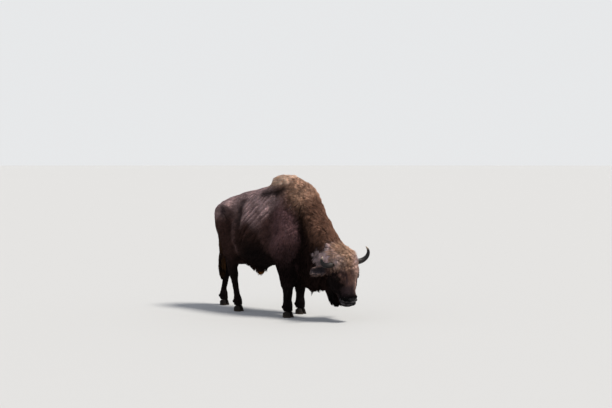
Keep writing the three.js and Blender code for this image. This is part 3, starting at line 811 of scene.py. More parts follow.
# Joints of lines of the face, on the left of the head's frame.
MOUTH = [(-0.01, 0, -0.497), (-0.03, 0.06, -0.494), (-0.07, 0.095, -0.477), (-0.115, 0.10, -0.440),
         (-0.132, 0.098, -0.420)]
UPPER_LIP = [(0.0, 0, -0.480), (-0.02, 0.062, -0.476), (-0.06, 0.095, -0.458), (-0.10, 0.10, -0.428)]
LOWER_LIP = [(-0.02, 0, -0.516), (-0.045, 0.055, -0.512), (-0.085, 0.088, -0.495), (-0.13, 0.098, -0.455)]
NOSTRIL = [(0.0, 0.033, -0.474), (0.0, 0.050, -0.462), (-0.018, 0.070, -0.455), (-0.036, 0.082, -0.460)]

# Forms of the left side of the face: joints near the skin, radius, height.
FACE_RELIEF = [
    ([(0.0, 0.105, -0.235), (0.0, 0.118, -0.195), (-0.02, 0.14, -0.168), (-0.055, 0.155, -0.166),
      (-0.085, 0.155, -0.190)], 0.015, 0.010),  # rim of the eye's socket
    ([(-0.055, 0.13, -0.250), (-0.035, 0.115, -0.275)], 0.014, -0.006),  # below the eye's inner corner
    ([(-0.095, 0.14, -0.250), (-0.085, 0.115, -0.360)], 0.018, 0.009),  # crest of the cheek
    ([(-0.02, 0.075, -0.280), (-0.03, 0.070, -0.385)], 0.026, -0.009),  # beside the bridge of the nose
    ([(0.01, 0.0, -0.220), (0.015, 0.0, -0.410)], 0.030, 0.005),  # bridge of the nose
    ([(-0.18, 0.13, -0.200), (-0.16, 0.12, -0.330)], 0.050, 0.008),  # muscle of the jaw
    ([(-0.12, 0.11, -0.370), (-0.14, 0.10, -0.400)], 0.028, -0.008),  # hollow of the cheek
    ([(-0.09, 0.14, -0.130), (-0.09, 0.14, -0.1299)], 0.030, -0.008),  # temple
    ([(-0.03, 0.10, -0.370), (-0.06, 0.10, -0.440)], 0.045, -0.008),  # the muzzle narrows above the lips
    ([(0.0, 0.028, -0.452), (0.0, 0.058, -0.440), (-0.03, 0.086, -0.436), (-0.055, 0.094, -0.452)],
     0.012, 0.008),  # rim of the nostril
    (NOSTRIL, 0.0085, -0.022),
    (UPPER_LIP, 0.012, 0.005),
    (MOUTH, 0.0095, -0.021),
    (LOWER_LIP, 0.012, 0.006),
]


def snapped(line, tree, step=0.008):
    """A line of joints told in the head's frame, laid on the skin in short steps."""
    line = np.array(line, float)
    steps = []
    for a, b in itertools.pairwise(line):
        n = max(1, math.ceil(np.linalg.norm(b - a) / step))
        steps += [a + (b - a) * i / n for i in range(n)]
    steps.append(line[-1])
    return in_head(np.array([tree.find_nearest(p)[0] for p in from_head(steps).tolist()]))


# Swellings of the legs: fore or hind, height, span, how far they stand out, and +1 on the front of the leg
# or -1 behind.
LEG_RELIEF = [
    ("fore", 0.405, 0.040, 0.006, 1),  # knee
    ("fore", 0.375, 0.030, 0.005, -1),  # bone behind the knee
    ("fore", 0.165, 0.026, 0.005, 1),  # fetlock
    ("hind", 0.500, 0.035, 0.007, -1),  # point of the hock
    ("hind", 0.440, 0.040, 0.005, 1),  # front of the hock
    ("hind", 0.165, 0.026, 0.005, 1),  # fetlock
]
LEG_TOP = 0.62  # no relief of the legs above this
SLICE = 0.02  # height of the slices that a leg's middle is found in
GROOVE = 0.0055  # depth of the groove between bone and tendons


def leg_relief(body):
    """Knees, hocks, fetlocks, and the groove between bone and tendons on both sides of each shank."""
    total = np.zeros(len(body.x))
    fore = body.x > -0.4
    on_leg = (body.z < LEG_TOP) & (body.on("foreleg") + body.on("hind_leg") > 0.5)
    for pair, is_left in itertools.product(("fore", "hind"), (True, False)):
        leg = on_leg & (fore == (pair == "fore")) & ((body.y > 0) == is_left)
        x, z, out = body.x[leg], body.z[leg], body.out[leg]
        level = (z / SLICE).astype(int)
        share = np.maximum(np.bincount(level), 1)
        ahead = x - (np.bincount(level, x) / share)[level]
        reach = np.bincount(level, np.abs(ahead)) / share * 1.5
        ahead = ahead / np.maximum(reach[level], 0.01)
        moved = np.zeros(len(x))
        for which, height, span, swell, facing in LEG_RELIEF:
            if which == pair:
                moved += swell * bell(z - height, span) * rise(facing * out[:, 0], 0.1, 0.8)
        shank = rise(z, 0.16, 0.22) * rise(z, 0.44, 0.36)
        moved -= GROOVE * bell(ahead + 0.30, 0.22) * shank * rise(np.abs(out[:, 1]), 0.3, 0.8)
        total[leg] += moved
    return total


def side_relief(body):
    """Bones, muscles, hollows and ribs of the trunk, shoulder and haunch."""
    x, z, trunk, neck = body.x, body.z, body.on("trunk"), body.on("neck")
    total = np.zeros(len(x))
    for line, radius, height in SIDE_RELIEF:
        total += height * stroke(body.side, line, radius)
    drop = 1.38 - z
    phase = (x + 1.2 * drop - 0.6 * np.clip(drop, 0, 1) ** 2) / RIB_PITCH + 0.45 * noise(body.at, 0.15, 6)
    where = rise(x, -0.66, -0.52) * rise(x, 0.0, -0.12) * rise(z, 0.72, 0.98) * rise(z, 1.43, 1.34)
    uneven = np.clip(0.8 + 1.5 * noise(body.at, 0.10, 7), 0, 1.7)
    total += RIB_HEIGHT * uneven * np.cos(2 * np.pi * phase) * where * trunk
    flank = rise(np.abs(body.out[:, 1]), 0.2, 0.6)
    bulk = np.clip(trunk + body.on("hind_leg") + body.on("foreleg") + neck, 0, 1)
    bulk = bulk * rise(z, 0.45, 0.6) * (1 - body.on("head"))
    outside = np.where(trunk + neck > 0.5, 1, rise(np.abs(body.y), 0.1, 0.16))
    return total * (flank * bulk * outside)


def shag(body):
    """Clumps of the coat in front and a slight unevenness behind."""
    clumps = noise(body.at * [1, 1, 0.5], 0.075, 3) * 0.008 + noise(body.at * [1, 1, 0.4], 0.036, 4) * 0.004
    smooth = noise(body.at, 0.11, 3) * 0.003 + noise(body.at, 0.05, 4) * 0.0015
    return blend(smooth, clumps, rise(body.x, -0.2, 0.08)) * (1 - body.on("head")) * rise(body.z, 0.3, 0.6)


def neck_creases(body):
    """Folds that run level round the upper neck."""
    phase = body.here @ np.array([0.25, 0, 0.97]) * 2 * np.pi / CREASE_PITCH + 3 * noise(body.at, 0.2, 5)
    uneven = np.clip(0.5 + 1.5 * noise(body.at, 0.09, 8), 0, 1.5)
    return CREASE_HEIGHT * np.cos(phase) * uneven * body.on("neck") * rise(body.z, 0.9, 1.1)


def relief_of(body):
    """How far each vertex of the skin is moved out, in metres."""
    total = side_relief(body)
    total += SPINE_HEIGHT * stroke(body.here, SPINE, 0.035) * body.on("trunk")
    total += leg_relief(body)
    total += shag(body)
    total += neck_creases(body)
    on_face = rise(body.on("head"), 0.3, 0.9)
    for line, radius, height in FACE_RELIEF:
        total += height * stroke(body.face, snapped(line, body.tree), radius) * on_face
    scoop = rise(body.ear_level, 0.12, 0.35) * rise(body.ear_level, 0.97, 0.75)
    total -= EAR_HOLLOW * body.ear_open * scoop * bell(body.ear_aside, 0.032)
    return total


# --- eyes

EYE_R = 0.0200
EYE_DEEPER = 0.005  # how much deeper than the CAD's the eyeball sits
OPEN_LONG = 58  # degrees from the eye's axis to the corners of the opening between the lids
OPEN_WIDE = 29  # and to the edges of the lids
EYE_OUT = np.array([0.42, 0.9, 0.02])  # on the left, in the head's frame
EYE_LONG = np.array([-0.62, 0.0, 0.78])  # from the inner corner to the outer one
CORNEA = 0.045  # how far the cornea bulges, as a share of the eyeball's radius
PUPIL_LONG, PUPIL_WIDE = 0.38, 0.20  # sines of half its width and half its height
PUPIL, IRIS, LIMBUS, WHITE = linear(5, 5, 7), linear(42, 26, 18), linear(12, 9, 8), linear(60, 44, 38)
LID_EDGE, LID_OUTER = linear(20, 15, 14), linear(62, 50, 45)
LASHES = 30  # on each upper lid

# Rows of the lids, from their edge outward and back behind: degrees from the edge, height over the eyeball.
LID_ROWS = [(0, 0.0001), (0.7, 0.0013), (2.2, 0.0021), (5, 0.0023), (8, 0.0019), (11, 0.0012), (15, 0.0018),
            (20, 0.0014), (26, 0.0004), (32, -0.0020), (32, -0.005), (16, -0.005), (0, -0.003)]


def eye_frame(side):
    """Centre of the eyeball, and its axes: out, along the opening, and across it to the brow."""
    out = unit(EYE_OUT * SIDES[side]) @ head_axes.T
    long = EYE_LONG * SIDES[side] @ head_axes.T
    long = unit(long - (long @ out) * out)
    across = np.cross(out, long)
    if across @ head_axes[:, 0] < 0:
        across = -across
    return eye_boxes[side].mean(0) - out * EYE_DEEPER, out, long, across


def lid_edge(turn):
    """Degrees from the eye's axis to the edge of the opening, at a turn about it: 0 is the outer corner."""
    wide = OPEN_WIDE * (1 + 0.12 * np.sin(turn))
    return blend(wide, OPEN_LONG, np.abs(np.cos(turn)) ** 6)


def eye_ways(axes, angle, turn):
    """Directions at an angle in degrees from the eye's axis and a turn about it."""
    _, out, long, across = axes
    angle = np.radians(angle)[..., None]
    turn = turn[..., None]
    return out * np.cos(angle) + (long * np.cos(turn) + across * np.sin(turn)) * np.sin(angle)


def past_lid(points, side):
    """For each point, its distance from the eye's centre and how many degrees it lies past the opening."""
    centre, out, long, across = eye_frame(side)
    w = points - centre
    far = np.linalg.norm(w, axis=1)
    a, b, c = w @ long, w @ across, w @ out
    return far, np.degrees(np.arctan2(np.hypot(a, b), c)) - lid_edge(np.arctan2(b, a))


def fit_lids(points):
    """Sinks the skin behind the lids and eyeballs, and keeps it over them all round."""
    for side in SIDES:
        far, past = past_lid(points, side)
        near = (far < 0.07) & (past < 75)
        far, past = far[near], past[near]
        centre = eye_frame(side)[0]
        over = np.maximum(far, EYE_R + 0.0040 * rise(past, 70, 45))
        new = blend(over, EYE_R - 0.004, rise(past, 22, 12))
        points[near] = centre + (points[near] - centre) / far[:, None] * new[:, None]
    return points


def make_eyeball(side, material):
    """The eyeball with its pupil, iris, dark rim and white, and a cornea that bulges a little."""
    axes = eye_frame(side)
    centre, out = axes[:2]
    rings, sides = 48, 56
    angle = 180 * (np.arange(rings) + 0.35) / rings
    angle, turn = (g.ravel() for g in np.meshgrid(angle, turns_of(sides), indexing="ij"))
    reach = EYE_R * (1 + CORNEA * rise(angle, 44, 8))
    verts = centre + eye_ways(axes, angle, turn) * reach[:, None]
    ends = [centre + EYE_R * (1 + CORNEA) * out, centre - EYE_R * out]
    away = np.sin(np.radians(angle))
    narrow = np.hypot(away * np.cos(turn) / PUPIL_LONG, away * np.sin(turn) / PUPIL_WIDE)
    tint = IRIS * (0.75 + 0.5 * np.abs(np.sin(turn * 17)))[:, None]
    for colour, cover in ((LIMBUS, rise(angle, 34, 40)), (WHITE, rise(angle, 44, 52)),
                          (PUPIL, rise(narrow, 1.15, 0.9))):
        tint = blend(tint, colour, cover[:, None])
    tint = np.vstack([tint, PUPIL, WHITE])
    verts = verts.reshape(rings, sides, 3)
    swept_piece("eyeball_" + side, verts, ends, tint, material, "eye_" + side)


def make_lid(side, material):
    """One ring of both lids, with a crease in the upper one, round the opening."""
    axes = eye_frame(side)
    steps = 72
    turn = turns_of(steps)
    past, over = np.array(LID_ROWS).T
    angle = np.minimum(lid_edge(turn)[:, None] + past, 100)
    crease = 0.0012 * rise(np.sin(turn), -0.1, 0.6)[:, None] * bell(past - 13, 3.5)
    reach = EYE_R + over - crease + 0.00025 * np.sin(13 * turn)[:, None] * rise(past, 2, 8)
    turns = np.broadcast_to(turn[:, None], angle.shape)
    verts = (axes[0] + eye_ways(axes, angle, turns) * reach[..., None]).reshape(-1, 3)
    tint = np.tile(blend(LID_EDGE, LID_OUTER, rise(past, 3, 16)[:, None]), (steps, 1))
    lid = new_object("lid_" + side, verts, round_tube(steps, len(LID_ROWS)))
    finish_closed(lid, tint, material)


def make_lashes(side, material):
    """A row of lashes on the upper lid."""
    axes = eye_frame(side)
    centre, out = axes[:2]
    turn = np.linspace(math.radians(12), math.radians(172), LASHES) + rng.normal(0, 0.02, LASHES)
    root = centre + eye_ways(axes, lid_edge(turn) + 1.5, turn) * (EYE_R + 0.0022)
    bend = centre + eye_ways(axes, lid_edge(turn) - 2, turn) * (EYE_R + 0.0085)
    tip = centre + eye_ways(axes, lid_edge(turn) + rng.uniform(4, 12, LASHES), turn) * (
        EYE_R + rng.uniform(0.011, 0.015, LASHES)[:, None])
    width = np.full(LASHES, 0.0008)
    verts, quads, tris = spikes(root, bend, tip, np.broadcast_to(out, root.shape), width, 3)
    lashes = new_object("lashes_" + side, verts.reshape(-1, 3), [quads, tris])
    paint(lashes.data, np.broadcast_to(LID_EDGE, (verts.size // 3, 3)))
    wear(lashes, material)


# --- markings, with painted light and shade

BROWN = linear(108, 80, 76)
# Pale browns painted as highlight: on the upper ribs, the hook bone and its fold, and the top of the back.
HIGHLIGHT_BROWN = linear(232, 198, 196)
BACK_HIGHLIGHT = linear(204, 174, 172)
SHOULDER_BROWN = linear(132, 99, 100)
NECK_BROWN = linear(56, 38, 34)
CREST_BROWN = linear(132, 97, 80)
TAN = linear(206, 164, 138)
STRAW = linear(255, 220, 194)
# Dark brown of the forelegs, and painted shade in hollows, under the hump's tuft, between shoulder and neck
# and under the body.
UMBER = linear(28, 19, 18)
BLACK_BROWN = linear(17, 12, 12)
THIGH_BROWN = linear(74, 52, 47)
SHANK_BROWN = linear(38, 29, 28)
FORESHANK_BROWN = linear(27, 21, 21)
CROWN_TAN = linear(216, 174, 146)
FOREHEAD_BROWN = linear(150, 114, 102)
FACE_BROWN = linear(30, 23, 23)
BROW_BROWN = linear(150, 122, 116)
NOSE_BROWN = linear(84, 68, 70)
# Painted highlight on the left edge of the nose's bridge.
BRIDGE_HIGHLIGHT = linear(244, 206, 192)
MUZZLE_BLACK = linear(15, 13, 15)
LIP_GREY = linear(128, 122, 124)
EAR_BROWN = linear(102, 80, 74)
EAR_GREY = linear(98, 90, 94)
EAR_EDGE = linear(178, 150, 142)
SHOCK_PALE = linear(250, 224, 224)
MANE_BROWN = linear(42, 29, 26)
TAIL_BROWN = linear(100, 72, 56)
SWITCH_BROWN = linear(30, 21, 17)
SWITCH_GOLD = linear(132, 92, 58)
SHEATH_ORANGE = linear(190, 124, 62)


class Layers:
    """Colours laid over one another on the skin's vertices."""

    def __init__(self, base, count):
        self.tint = np.broadcast_to(base, (count, 3)).copy()

    def lay(self, colour, cover):
        self.tint = blend(self.tint, colour, np.clip(cover, 0, 1)[:, None])


def mark_trunk(lay, body):
    """Painted highlight on the top of the back, the upper ribs, the hook bone and its fold, dark belly and
    lower flank, painted shade in the hollows and under the body, and browner thighs.
    """
    x, y, z, side, trunk = body.x, body.y, body.z, body.side, body.on("trunk")
    ragged = 0.62 + 0.30 * noise(body.at, 0.07, 15)
    # Painted highlight: the top of the back and the upper ribs are paler, where light from above falls.
    below_back = z - 1.45 - 0.25 * (x + 0.3)
    lay(BACK_HIGHLIGHT, rise(below_back, -0.26, -0.07) * rise(x, 0.1, -0.2) * 0.85)
    ribs = stroke(side, [(-0.18, 1.34), (-0.45, 1.20)], 0.24)
    lay(HIGHLIGHT_BROWN, ribs * (0.75 + 0.5 * noise(body.at, 0.09, 18)) * trunk)
    lay(SHOULDER_BROWN, rise(x, -0.10, 0.05) * rise(z, 1.45, 1.2) * 0.9)
    # Painted shade in the hollows before and behind the hook bone, stronger on the right side.
    hollows = stroke(side, HOLLOW_FRONT[:3], 0.045) + stroke(side, HOLLOW_BEHIND[:3], 0.045)
    lay(UMBER, hollows * ragged * (0.35 + 0.65 * rise(y, 0.1, -0.1)))
    # Painted highlight along the top of the hook bone and down the fold below it.
    lay(HIGHLIGHT_BROWN, stroke(side, HOOK[:2], 0.032) * 0.25 + 0.45 * stroke(side, FOLD, 0.024) * ragged)
    lay(THIGH_BROWN, stroke(side, [(-0.80, 1.21), (-0.73, 1.12)], 0.07) * 0.8)
    lay(THIGH_BROWN, body.on("hind_leg") * rise(z, 1.2, 1.0) * 0.8)
    lay(THIGH_BROWN, rise(z + 0.1 * noise(body.at, 0.12, 17), 1.17, 0.95) * rise(x, 0.0, -0.1) * trunk)
    lay(BLACK_BROWN, rise(z, 1.02, 0.70) * rise(x, -0.7, -0.4) * rise(x, 0.0, -0.15) * trunk * 0.95)
    # Painted shade on whatever faces down, below about 0.9 m.
    lay(UMBER, rise(body.out[:, 2], 0.1, -0.7) * rise(z, 1.0, 0.85) * 0.8)


def mark_front_and_legs(lay, body):
    """Tan crest, dark mane and legs, the pale tuft of the hump over a band of painted shadow, and painted
    shade between shoulder and neck.
    """
    z, side, neck, trunk = body.z, body.side, body.on("neck"), body.on("trunk")
    lay(NECK_BROWN, neck)
    lay(CREST_BROWN, stroke(side, [(0.2, 1.5), (0.45, 1.2), (0.62, 1.0), (0.8, 0.88)], 0.11) * (neck + trunk))
    lay(TAN, stroke(side, [(-0.05, 1.6), (0.2, 1.56), (0.33, 1.4)], 0.11) * (trunk + neck))
    # Painted shadow under the overhang of the hump's tuft.
    lay(UMBER, stroke(side, [(-0.25, 1.42), (-0.10, 1.455), (0.06, 1.49)], 0.062) * trunk * 0.9)
    # Painted shade in the hollow between shoulder and neck.
    lay(UMBER, stroke(side, [(0.33, 1.22), (0.37, 0.92), (0.32, 0.70)], 0.055) * 0.75 * (neck + trunk))
    lay(MANE_BROWN, neck * rise(z, 0.95, 0.68))
    lay(UMBER, body.on("foreleg") * rise(z, 0.95, 0.6))
    lay(SHANK_BROWN, body.on("hind_leg") * rise(z, 0.72, 0.5))
    lay(FORESHANK_BROWN, body.on("foreleg") * rise(z, 0.55, 0.35))
    tuft = stroke(body.here, [(-0.21, 0, 1.56), (-0.05, 0, 1.60), (0.05, 0, 1.60)], 0.092)
    lay(STRAW, rise(tuft, 0.15, 0.5) * trunk)


def mark_head(lay, body):
    """Tan crown, brown forehead, dark sides of the face and beard, painted highlight on the bridge, painted
    shade on the right of the face, black muzzle, grey lips.
    """
    h, face, head = body.head, body.face, body.on("head")
    ahead, level, aside = h[:, 0], h[:, 2], face[:, 1]
    wander = 0.04 * noise(body.at, 0.045, 14)
    lay(FOREHEAD_BROWN, head)
    lay(CROWN_TAN, head * rise(level + 1.2 * wander, -0.17, 0.03) * rise(ahead, -0.3, -0.15))
    strands = noise(h * [1, 1, 0.3], 0.032, 33) + 0.5 * noise(h * [1, 1, 0.3], 0.014, 34)
    lay(NOSE_BROWN, head * rise(level, 0.03, -0.10) * rise(strands, 0.05, 0.5) * 0.75)
    lay(NOSE_BROWN, head * rise(level + wander, -0.19, -0.32))
    lay(FACE_BROWN, head * rise(level + wander, -0.12, -0.24) * rise(aside + wander, 0.06, 0.135))
    # Painted highlight: a pale stripe down the left edge of the nose's bridge.
    bridge = stroke(h, [(0.0, 0.10, -0.04), (0.0, 0.088, -0.20), (0.0, 0.080, -0.42)], 0.044)
    lay(BRIDGE_HIGHLIGHT, head * bridge * 1.05)
    lay(MANE_BROWN, head * rise(ahead, -0.12, -0.2) * rise(level, -0.1, -0.2))
    lay(BLACK_BROWN, head * rise(ahead, -0.19, -0.24) * rise(level, -0.25, -0.33))
    lay(FACE_BROWN, head * rise(level + wander, -0.05, -0.12) * rise(aside + wander, 0.115, 0.15) * 0.8)
    # Painted shade on the right side of the face only.
    lay(FACE_BROWN, head * rise(level + wander, -0.06, -0.11) * rise(wander - h[:, 1], 0.092, 0.118) * 0.85)
    lay(BROW_BROWN, head * stroke(face, [(0.0, 0.10, -0.175), (-0.02, 0.12, -0.165), (-0.055, 0.15, -0.165)],
                                  0.015))
    lay(MUZZLE_BLACK, head * rise(level, -0.35, -0.43) * rise(ahead, -0.16, -0.12))
    mouth = snapped(MOUTH, body.tree)
    lips = rise(stroke(face, mouth, 0.026), 0.25, 0.6) * rise(ahead, -0.14, -0.10)
    lay(LIP_GREY, head * lips * (0.7 + 1.1 * noise(body.at, 0.028, 19)))
    lay(MUZZLE_BLACK, head * stroke(face, mouth, 0.010) * 1.6)
    lay(MUZZLE_BLACK, head * stroke(face, snapped(NOSTRIL, body.tree), 0.012) * 1.3)
    shock = rise(stroke(face, SHOCK[1:], 0.10), 0.15, 0.8) * rise(ahead, -0.02, -0.10)
    shock = np.maximum(shock, stroke(face, [(-0.04, 0.10, 0.01), (-0.12, 0.13, 0.05)], 0.065) * 1.1)
    lay(SHOCK_PALE, shock * (0.75 + 0.8 * noise(body.at, 0.030, 13)))


def mark_ends(lay, body):
    """Grey ears with pale edges, the tail, its tuft streaked with gold, and the orange end of the sheath."""
    z, ear = body.z, body.on("ear")
    lay(EAR_BROWN, ear)
    lay(EAR_GREY, body.ear_open * rise(body.ear_level, 0.1, 0.3))
    edge = np.maximum(rise(np.abs(body.ear_aside), 0.028, 0.044), rise(body.ear_level, 0.86, 1.0))
    lay(EAR_EDGE, ear * edge * 0.9)
    lay(TAIL_BROWN, body.on("tail") * rise(z, 1.22, 0.98))
    gold = rise(streaks(body.at), -0.25, 0.35) * rise(z, 0.35, 0.75)
    lay(blend(SWITCH_BROWN, SWITCH_GOLD, gold[:, None]), body.on("tail_tuft"))
    end = stroke(body.here, SHEATH[1:] + [(-0.455, 0, 0.42)], 0.045)
    lay(SHEATH_ORANGE, end * rise(z, 0.60, 0.50) * body.on("trunk"))


def markings_of(body, relief):
    """The colour of the hair at each vertex, with painted highlight on what stands out and painted shade in
    hollows.
    """
    layers = Layers(BROWN, len(body.x))
    for mark in (mark_trunk, mark_front_and_legs, mark_head, mark_ends):
        mark(layers.lay, body)
    patchy = 1 + 0.12 * noise(body.at, 0.16, 11) + 0.12 * noise(body.at, 0.06, 12)
    # Painted light and shade: paler where the relief stands out, darker where it sinks.
    raised = np.clip(relief * 22, -0.32, 0.32) * (1 - body.on("head"))
    return layers.tint * np.clip(patchy + raised, 0.4, 1.6)[:, None]


def streaks(points):
    """Random values that run along the fall of the hair in front and slant back over the rear."""
    slant = np.array([-0.85, 0, -0.53])
    behind = points - 0.72 * (points @ slant)[:, None] * slant
    front = points * [1, 1, 0.28]
    mix = rise(points[:, 0], 0.0, 0.25)
    coarse = noise(front, 0.045, 41) * mix + noise(behind, 0.045, 42) * (1 - mix)
    fine = noise(front, 0.017, 43) * mix + noise(behind, 0.017, 44) * (1 - mix)
    return 0.6 * coarse + 0.6 * fine


def bare_of(body):
    """Where there is no hair: the nose between and round the nostrils, and the lips' edges."""
    ahead, aside, level = body.head[:, 0], body.face[:, 1], body.face[:, 2]
    top = -0.438 - 0.014 * (aside / 0.06) ** 2
    pad = rise(level, top + 0.006, top - 0.006) * rise(aside, 0.078, 0.062) * rise(ahead, -0.055, -0.035)
    pad = pad * rise(level, -0.500, -0.492)
    nostril = rise(stroke(body.face, snapped(NOSTRIL, body.tree), 0.016), 0.3, 0.5)
    mouth = rise(stroke(body.face, snapped(MOUTH, body.tree), 0.012), 0.3, 0.5)
    return np.maximum.reduce([pad, nostril, mouth]) * rise(body.on("head"), 0.4, 0.8)


# --- skin, put together

SINK = 0.78  # how far under the bare form the skin is sunk, as a share of the coat's depth
DEEPEST = 0.36  # the coat's depth at most, as a share of how thick the form is


def bare_form():
    """A smooth mesh of the body's bare form, finest where the head needs it."""
    mesh = run_together(FLESH + ["eye_right", "eye_left"])
    surface = Surface(mesh)
    fragile = surface.spread(of_kind(surface.at, ["ear", "tail", "lower"]).astype(float), 4)
    surface.relax(60, 1 - 0.6 * fragile)  # thin parts would shrink
    surface.store()
    refine(mesh, at_detail)
    refine(mesh, at_fine_detail)
    surface = Surface(mesh)
    surface.relax(8, np.full(len(surface.at), 0.8))
    surface.store()
    mesh.polygons.foreach_set("use_smooth", np.ones(len(mesh.polygons), bool))
    return mesh


def mould(surface, body, depth):
    """Sinks the skin under the coat and gives it its relief. The answer is the relief that was wanted."""
    surface.at = surface.at - body.out * (SINK * depth[:, None])
    surface.relax(8, 1 - 0.8 * body.on("ear"))
    wanted = relief_of(body)
    most = 0.7 * depth + 0.002 + 0.02 * body.on("head")  # more would come through the coat
    relief = np.where(wanted > 0, most * np.tanh(wanted / most), wanted)
    surface.at = surface.at + surface.normals() * relief[:, None]
    surface.at = fit_lids(surface.at)
    for side in SIDES:
        smooth_round_lids(surface, side)
    surface.at = fit_lids(surface.at)
    surface.store()
    return wanted


def smooth_round_lids(surface, side):
    """Takes the step out of the skin all round the lids."""
    far, past = past_lid(surface.at, side)
    wall = (rise(far, 0.085, 0.065) * rise(past, 8, 16) * rise(past, 75, 55))[:, None]
    for _ in range(14):
        surface.at = surface.at + 0.5 * wall * (surface.around(surface.at) - surface.at)


def make_skin():
    """Makes the skin. Its surface, its body and the fields that the coat grows by are the answer."""
    mesh = bare_form()
    skin = placed("skin", mesh)
    unwrap(skin)
    surface = Surface(mesh)
    body = Body(surface)
    shares = regions_of(body)
    traits = traits_of(shares)
    traits["stray"] += 55 * stroke(body.head, PARTING, 0.035) * body.on("head")  # tousled at the parting
    depth = np.minimum(traits["depth"], DEEPEST * thickness(surface))
    traits["depth"] = surface.spread(depth, 6)
    relief = mould(surface, body, traits["depth"])

    tint = markings_of(body, relief)
    bare = bare_of(body)
    for side in SIDES:
        far, past = past_lid(surface.at, side)  # no hair behind the lids
        bare = np.maximum(bare, rise(past, 19, 14) * (far < EYE_R + 0.009))
    traits["bare"] = bare
    paint(mesh, tint * (0.55 + 0.45 * bare[:, None]))  # painted shade, darker under the hair
    mesh.attributes.new("bare", "FLOAT", "POINT").data.foreach_set("value", bare.astype(np.float32))
    wear(skin, skin_material())
    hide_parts(*FLESH)
    return surface, body, shares, traits, tint


# --- coat

LOCK_LIMIT = 190000  # triangles in one piece of the coat
PATCH = 0.003  # size of a lock on the skin's map
FLAT_SIDE = np.array([0.23, 0.17, 0.0])  # turns the locks, so that none lies straight along its own normal
LOOSE = 0.25  # a lock freer than this may rise off the coat
HANGING = 0.4  # a lock that hangs more than this is cut to the CAD's outline
CUT = 0.012  # how unevenly the hanging locks are cut, in metres
THINNING = 0.010  # over what depth loose hair thins out toward the CAD's outline
LIFTED = 0.010  # how far the tips of loose hair that does not hang may rise over the coat
UNLIMITED = 1.0  # metres: loose hair that hangs may fall as far from the skin as it does
ROOTED = 0.0015  # how deep in the skin the roots are
SHADE_AT_ROOT, SHADE_GAIN = 0.70, 0.45  # painted shade at a lock's root, and how much lighter its tip is


def grow(surface, body, shares, traits, tint):
    """Roots, ways, sizes and colours of all the locks, as arrays."""
    tris = surface.tris
    corners = surface.at[tris]
    cross = np.cross(corners[:, 1] - corners[:, 0], corners[:, 2] - corners[:, 0])
    area = np.linalg.norm(cross, axis=1) / 2
    spacing = traits["spacing"][tris].mean(1) * 1.0  # every lock, at the spacing that the traits give
    wanted = area / spacing**2 * (traits["bare"][tris].min(1) < 0.5)
    count = np.floor(wanted + rng.random(len(wanted))).astype(int)
    tri = np.repeat(np.arange(len(tris)), count)
    u, v = rng.random((2, len(tri)))
    flip = u + v > 1
    u[flip], v[flip] = 1 - u[flip], 1 - v[flip]
    mixed = np.column_stack([1 - u - v, u, v])
    hairy = (traits["bare"][tris[tri]] * mixed).sum(1) < 0.5
    tri, mixed = tri[hairy], mixed[hairy]

    def pick(values):
        at_corners = values[tris[tri]]
        if values.ndim == 1:
            return (at_corners * mixed).sum(1)
        return (at_corners * mixed[:, :, None]).sum(1)

    uv = read(surface.mesh.uv_layers["OFBake"].uv, "vector", np.float32, 2)
    locks = {name: pick(values) for name, values in traits.items()}
    locks["root"] = pick(surface.at)
    locks["out"] = unit(pick(surface.normals()))
    locks["way"] = pick(lie_of(body, shares))
    locks["tint"] = pick(tint)
    locks["uv"] = (uv[surface.tri_loops[tri]] * mixed[:, :, None]).sum(1)
    locks["kind"] = np.argmax(np.column_stack([pick(shares[k]) for k in COATS]), axis=1)
    return locks


def comb(locks):
    """Lays each lock along the skin, or lets it fall free of it: adds its bend and its tip."""
    root, out = locks["root"], locks["out"]
    count = len(root)
    away = (locks["way"] * out).sum(1)[:, None]
    keep = np.where(away > 0, 0.9 * locks["hang"][:, None], 0)
    way = unit(locks["way"] - away * (1 - keep) * out)
    clump = noise(root, 0.055, 21) * 0.6 + noise(root, 0.022, 22) * 0.6
    turn = np.radians(locks["stray"]) * (clump + rng.normal(0, 0.32, count))
    way = way * np.cos(turn)[:, None] + np.cross(out, way) * np.sin(turn)[:, None]
    aside = np.cross(out, way)
    length = (locks["length"] * rng.uniform(0.72, 1.18, count) * (1 + 0.18 * noise(root, 0.04, 23)))[:, None]
    free, hang, curl = (locks[k][:, None] for k in ("free", "hang", "curl"))
    wave = curl * length * noise(root, 0.03, 24)[:, None]
    rise_out = 0.28 + 0.20 * free + 0.8 * curl
    bend = root + unit(way + out * rise_out + DOWN * hang * 0.3) * length * 0.45 - aside * wave * 0.6
    tip = bend + unit(way + DOWN * hang * 1.5 + out * 0.1 * free) * length * 0.55 + aside * wave
    gather(locks, way, bend, tip)
    locks["bend"], locks["tip"], locks["length"] = bend, tip, length[:, 0]


def gather(locks, way, bend, tip):
    """Draws the tips of neighbouring locks together, as hair does, to those of some locks that lead."""
    root = locks["root"]
    lead = np.flatnonzero(rng.random(len(root)) < (locks["spacing"] / locks["apart"]) ** 2)
    tree = KDTree(len(lead))
    for k in lead:
        tree.insert(root[k], k)
    tree.balance()
    leader = np.array([tree.find(p)[1] for p in root.tolist()])
    near = rise(np.linalg.norm(root[leader] - root, axis=1) / locks["apart"], 2.0, 1.2)
    alike = rise((way[leader] * way).sum(1), 0.3, 0.8)
    share = (locks["gather"] * near * alike * rng.uniform(0.7, 1.1, len(root)))[:, None]
    bend += (bend[leader] - bend) * share * 0.4
    tip += (tip[leader] - tip) * share


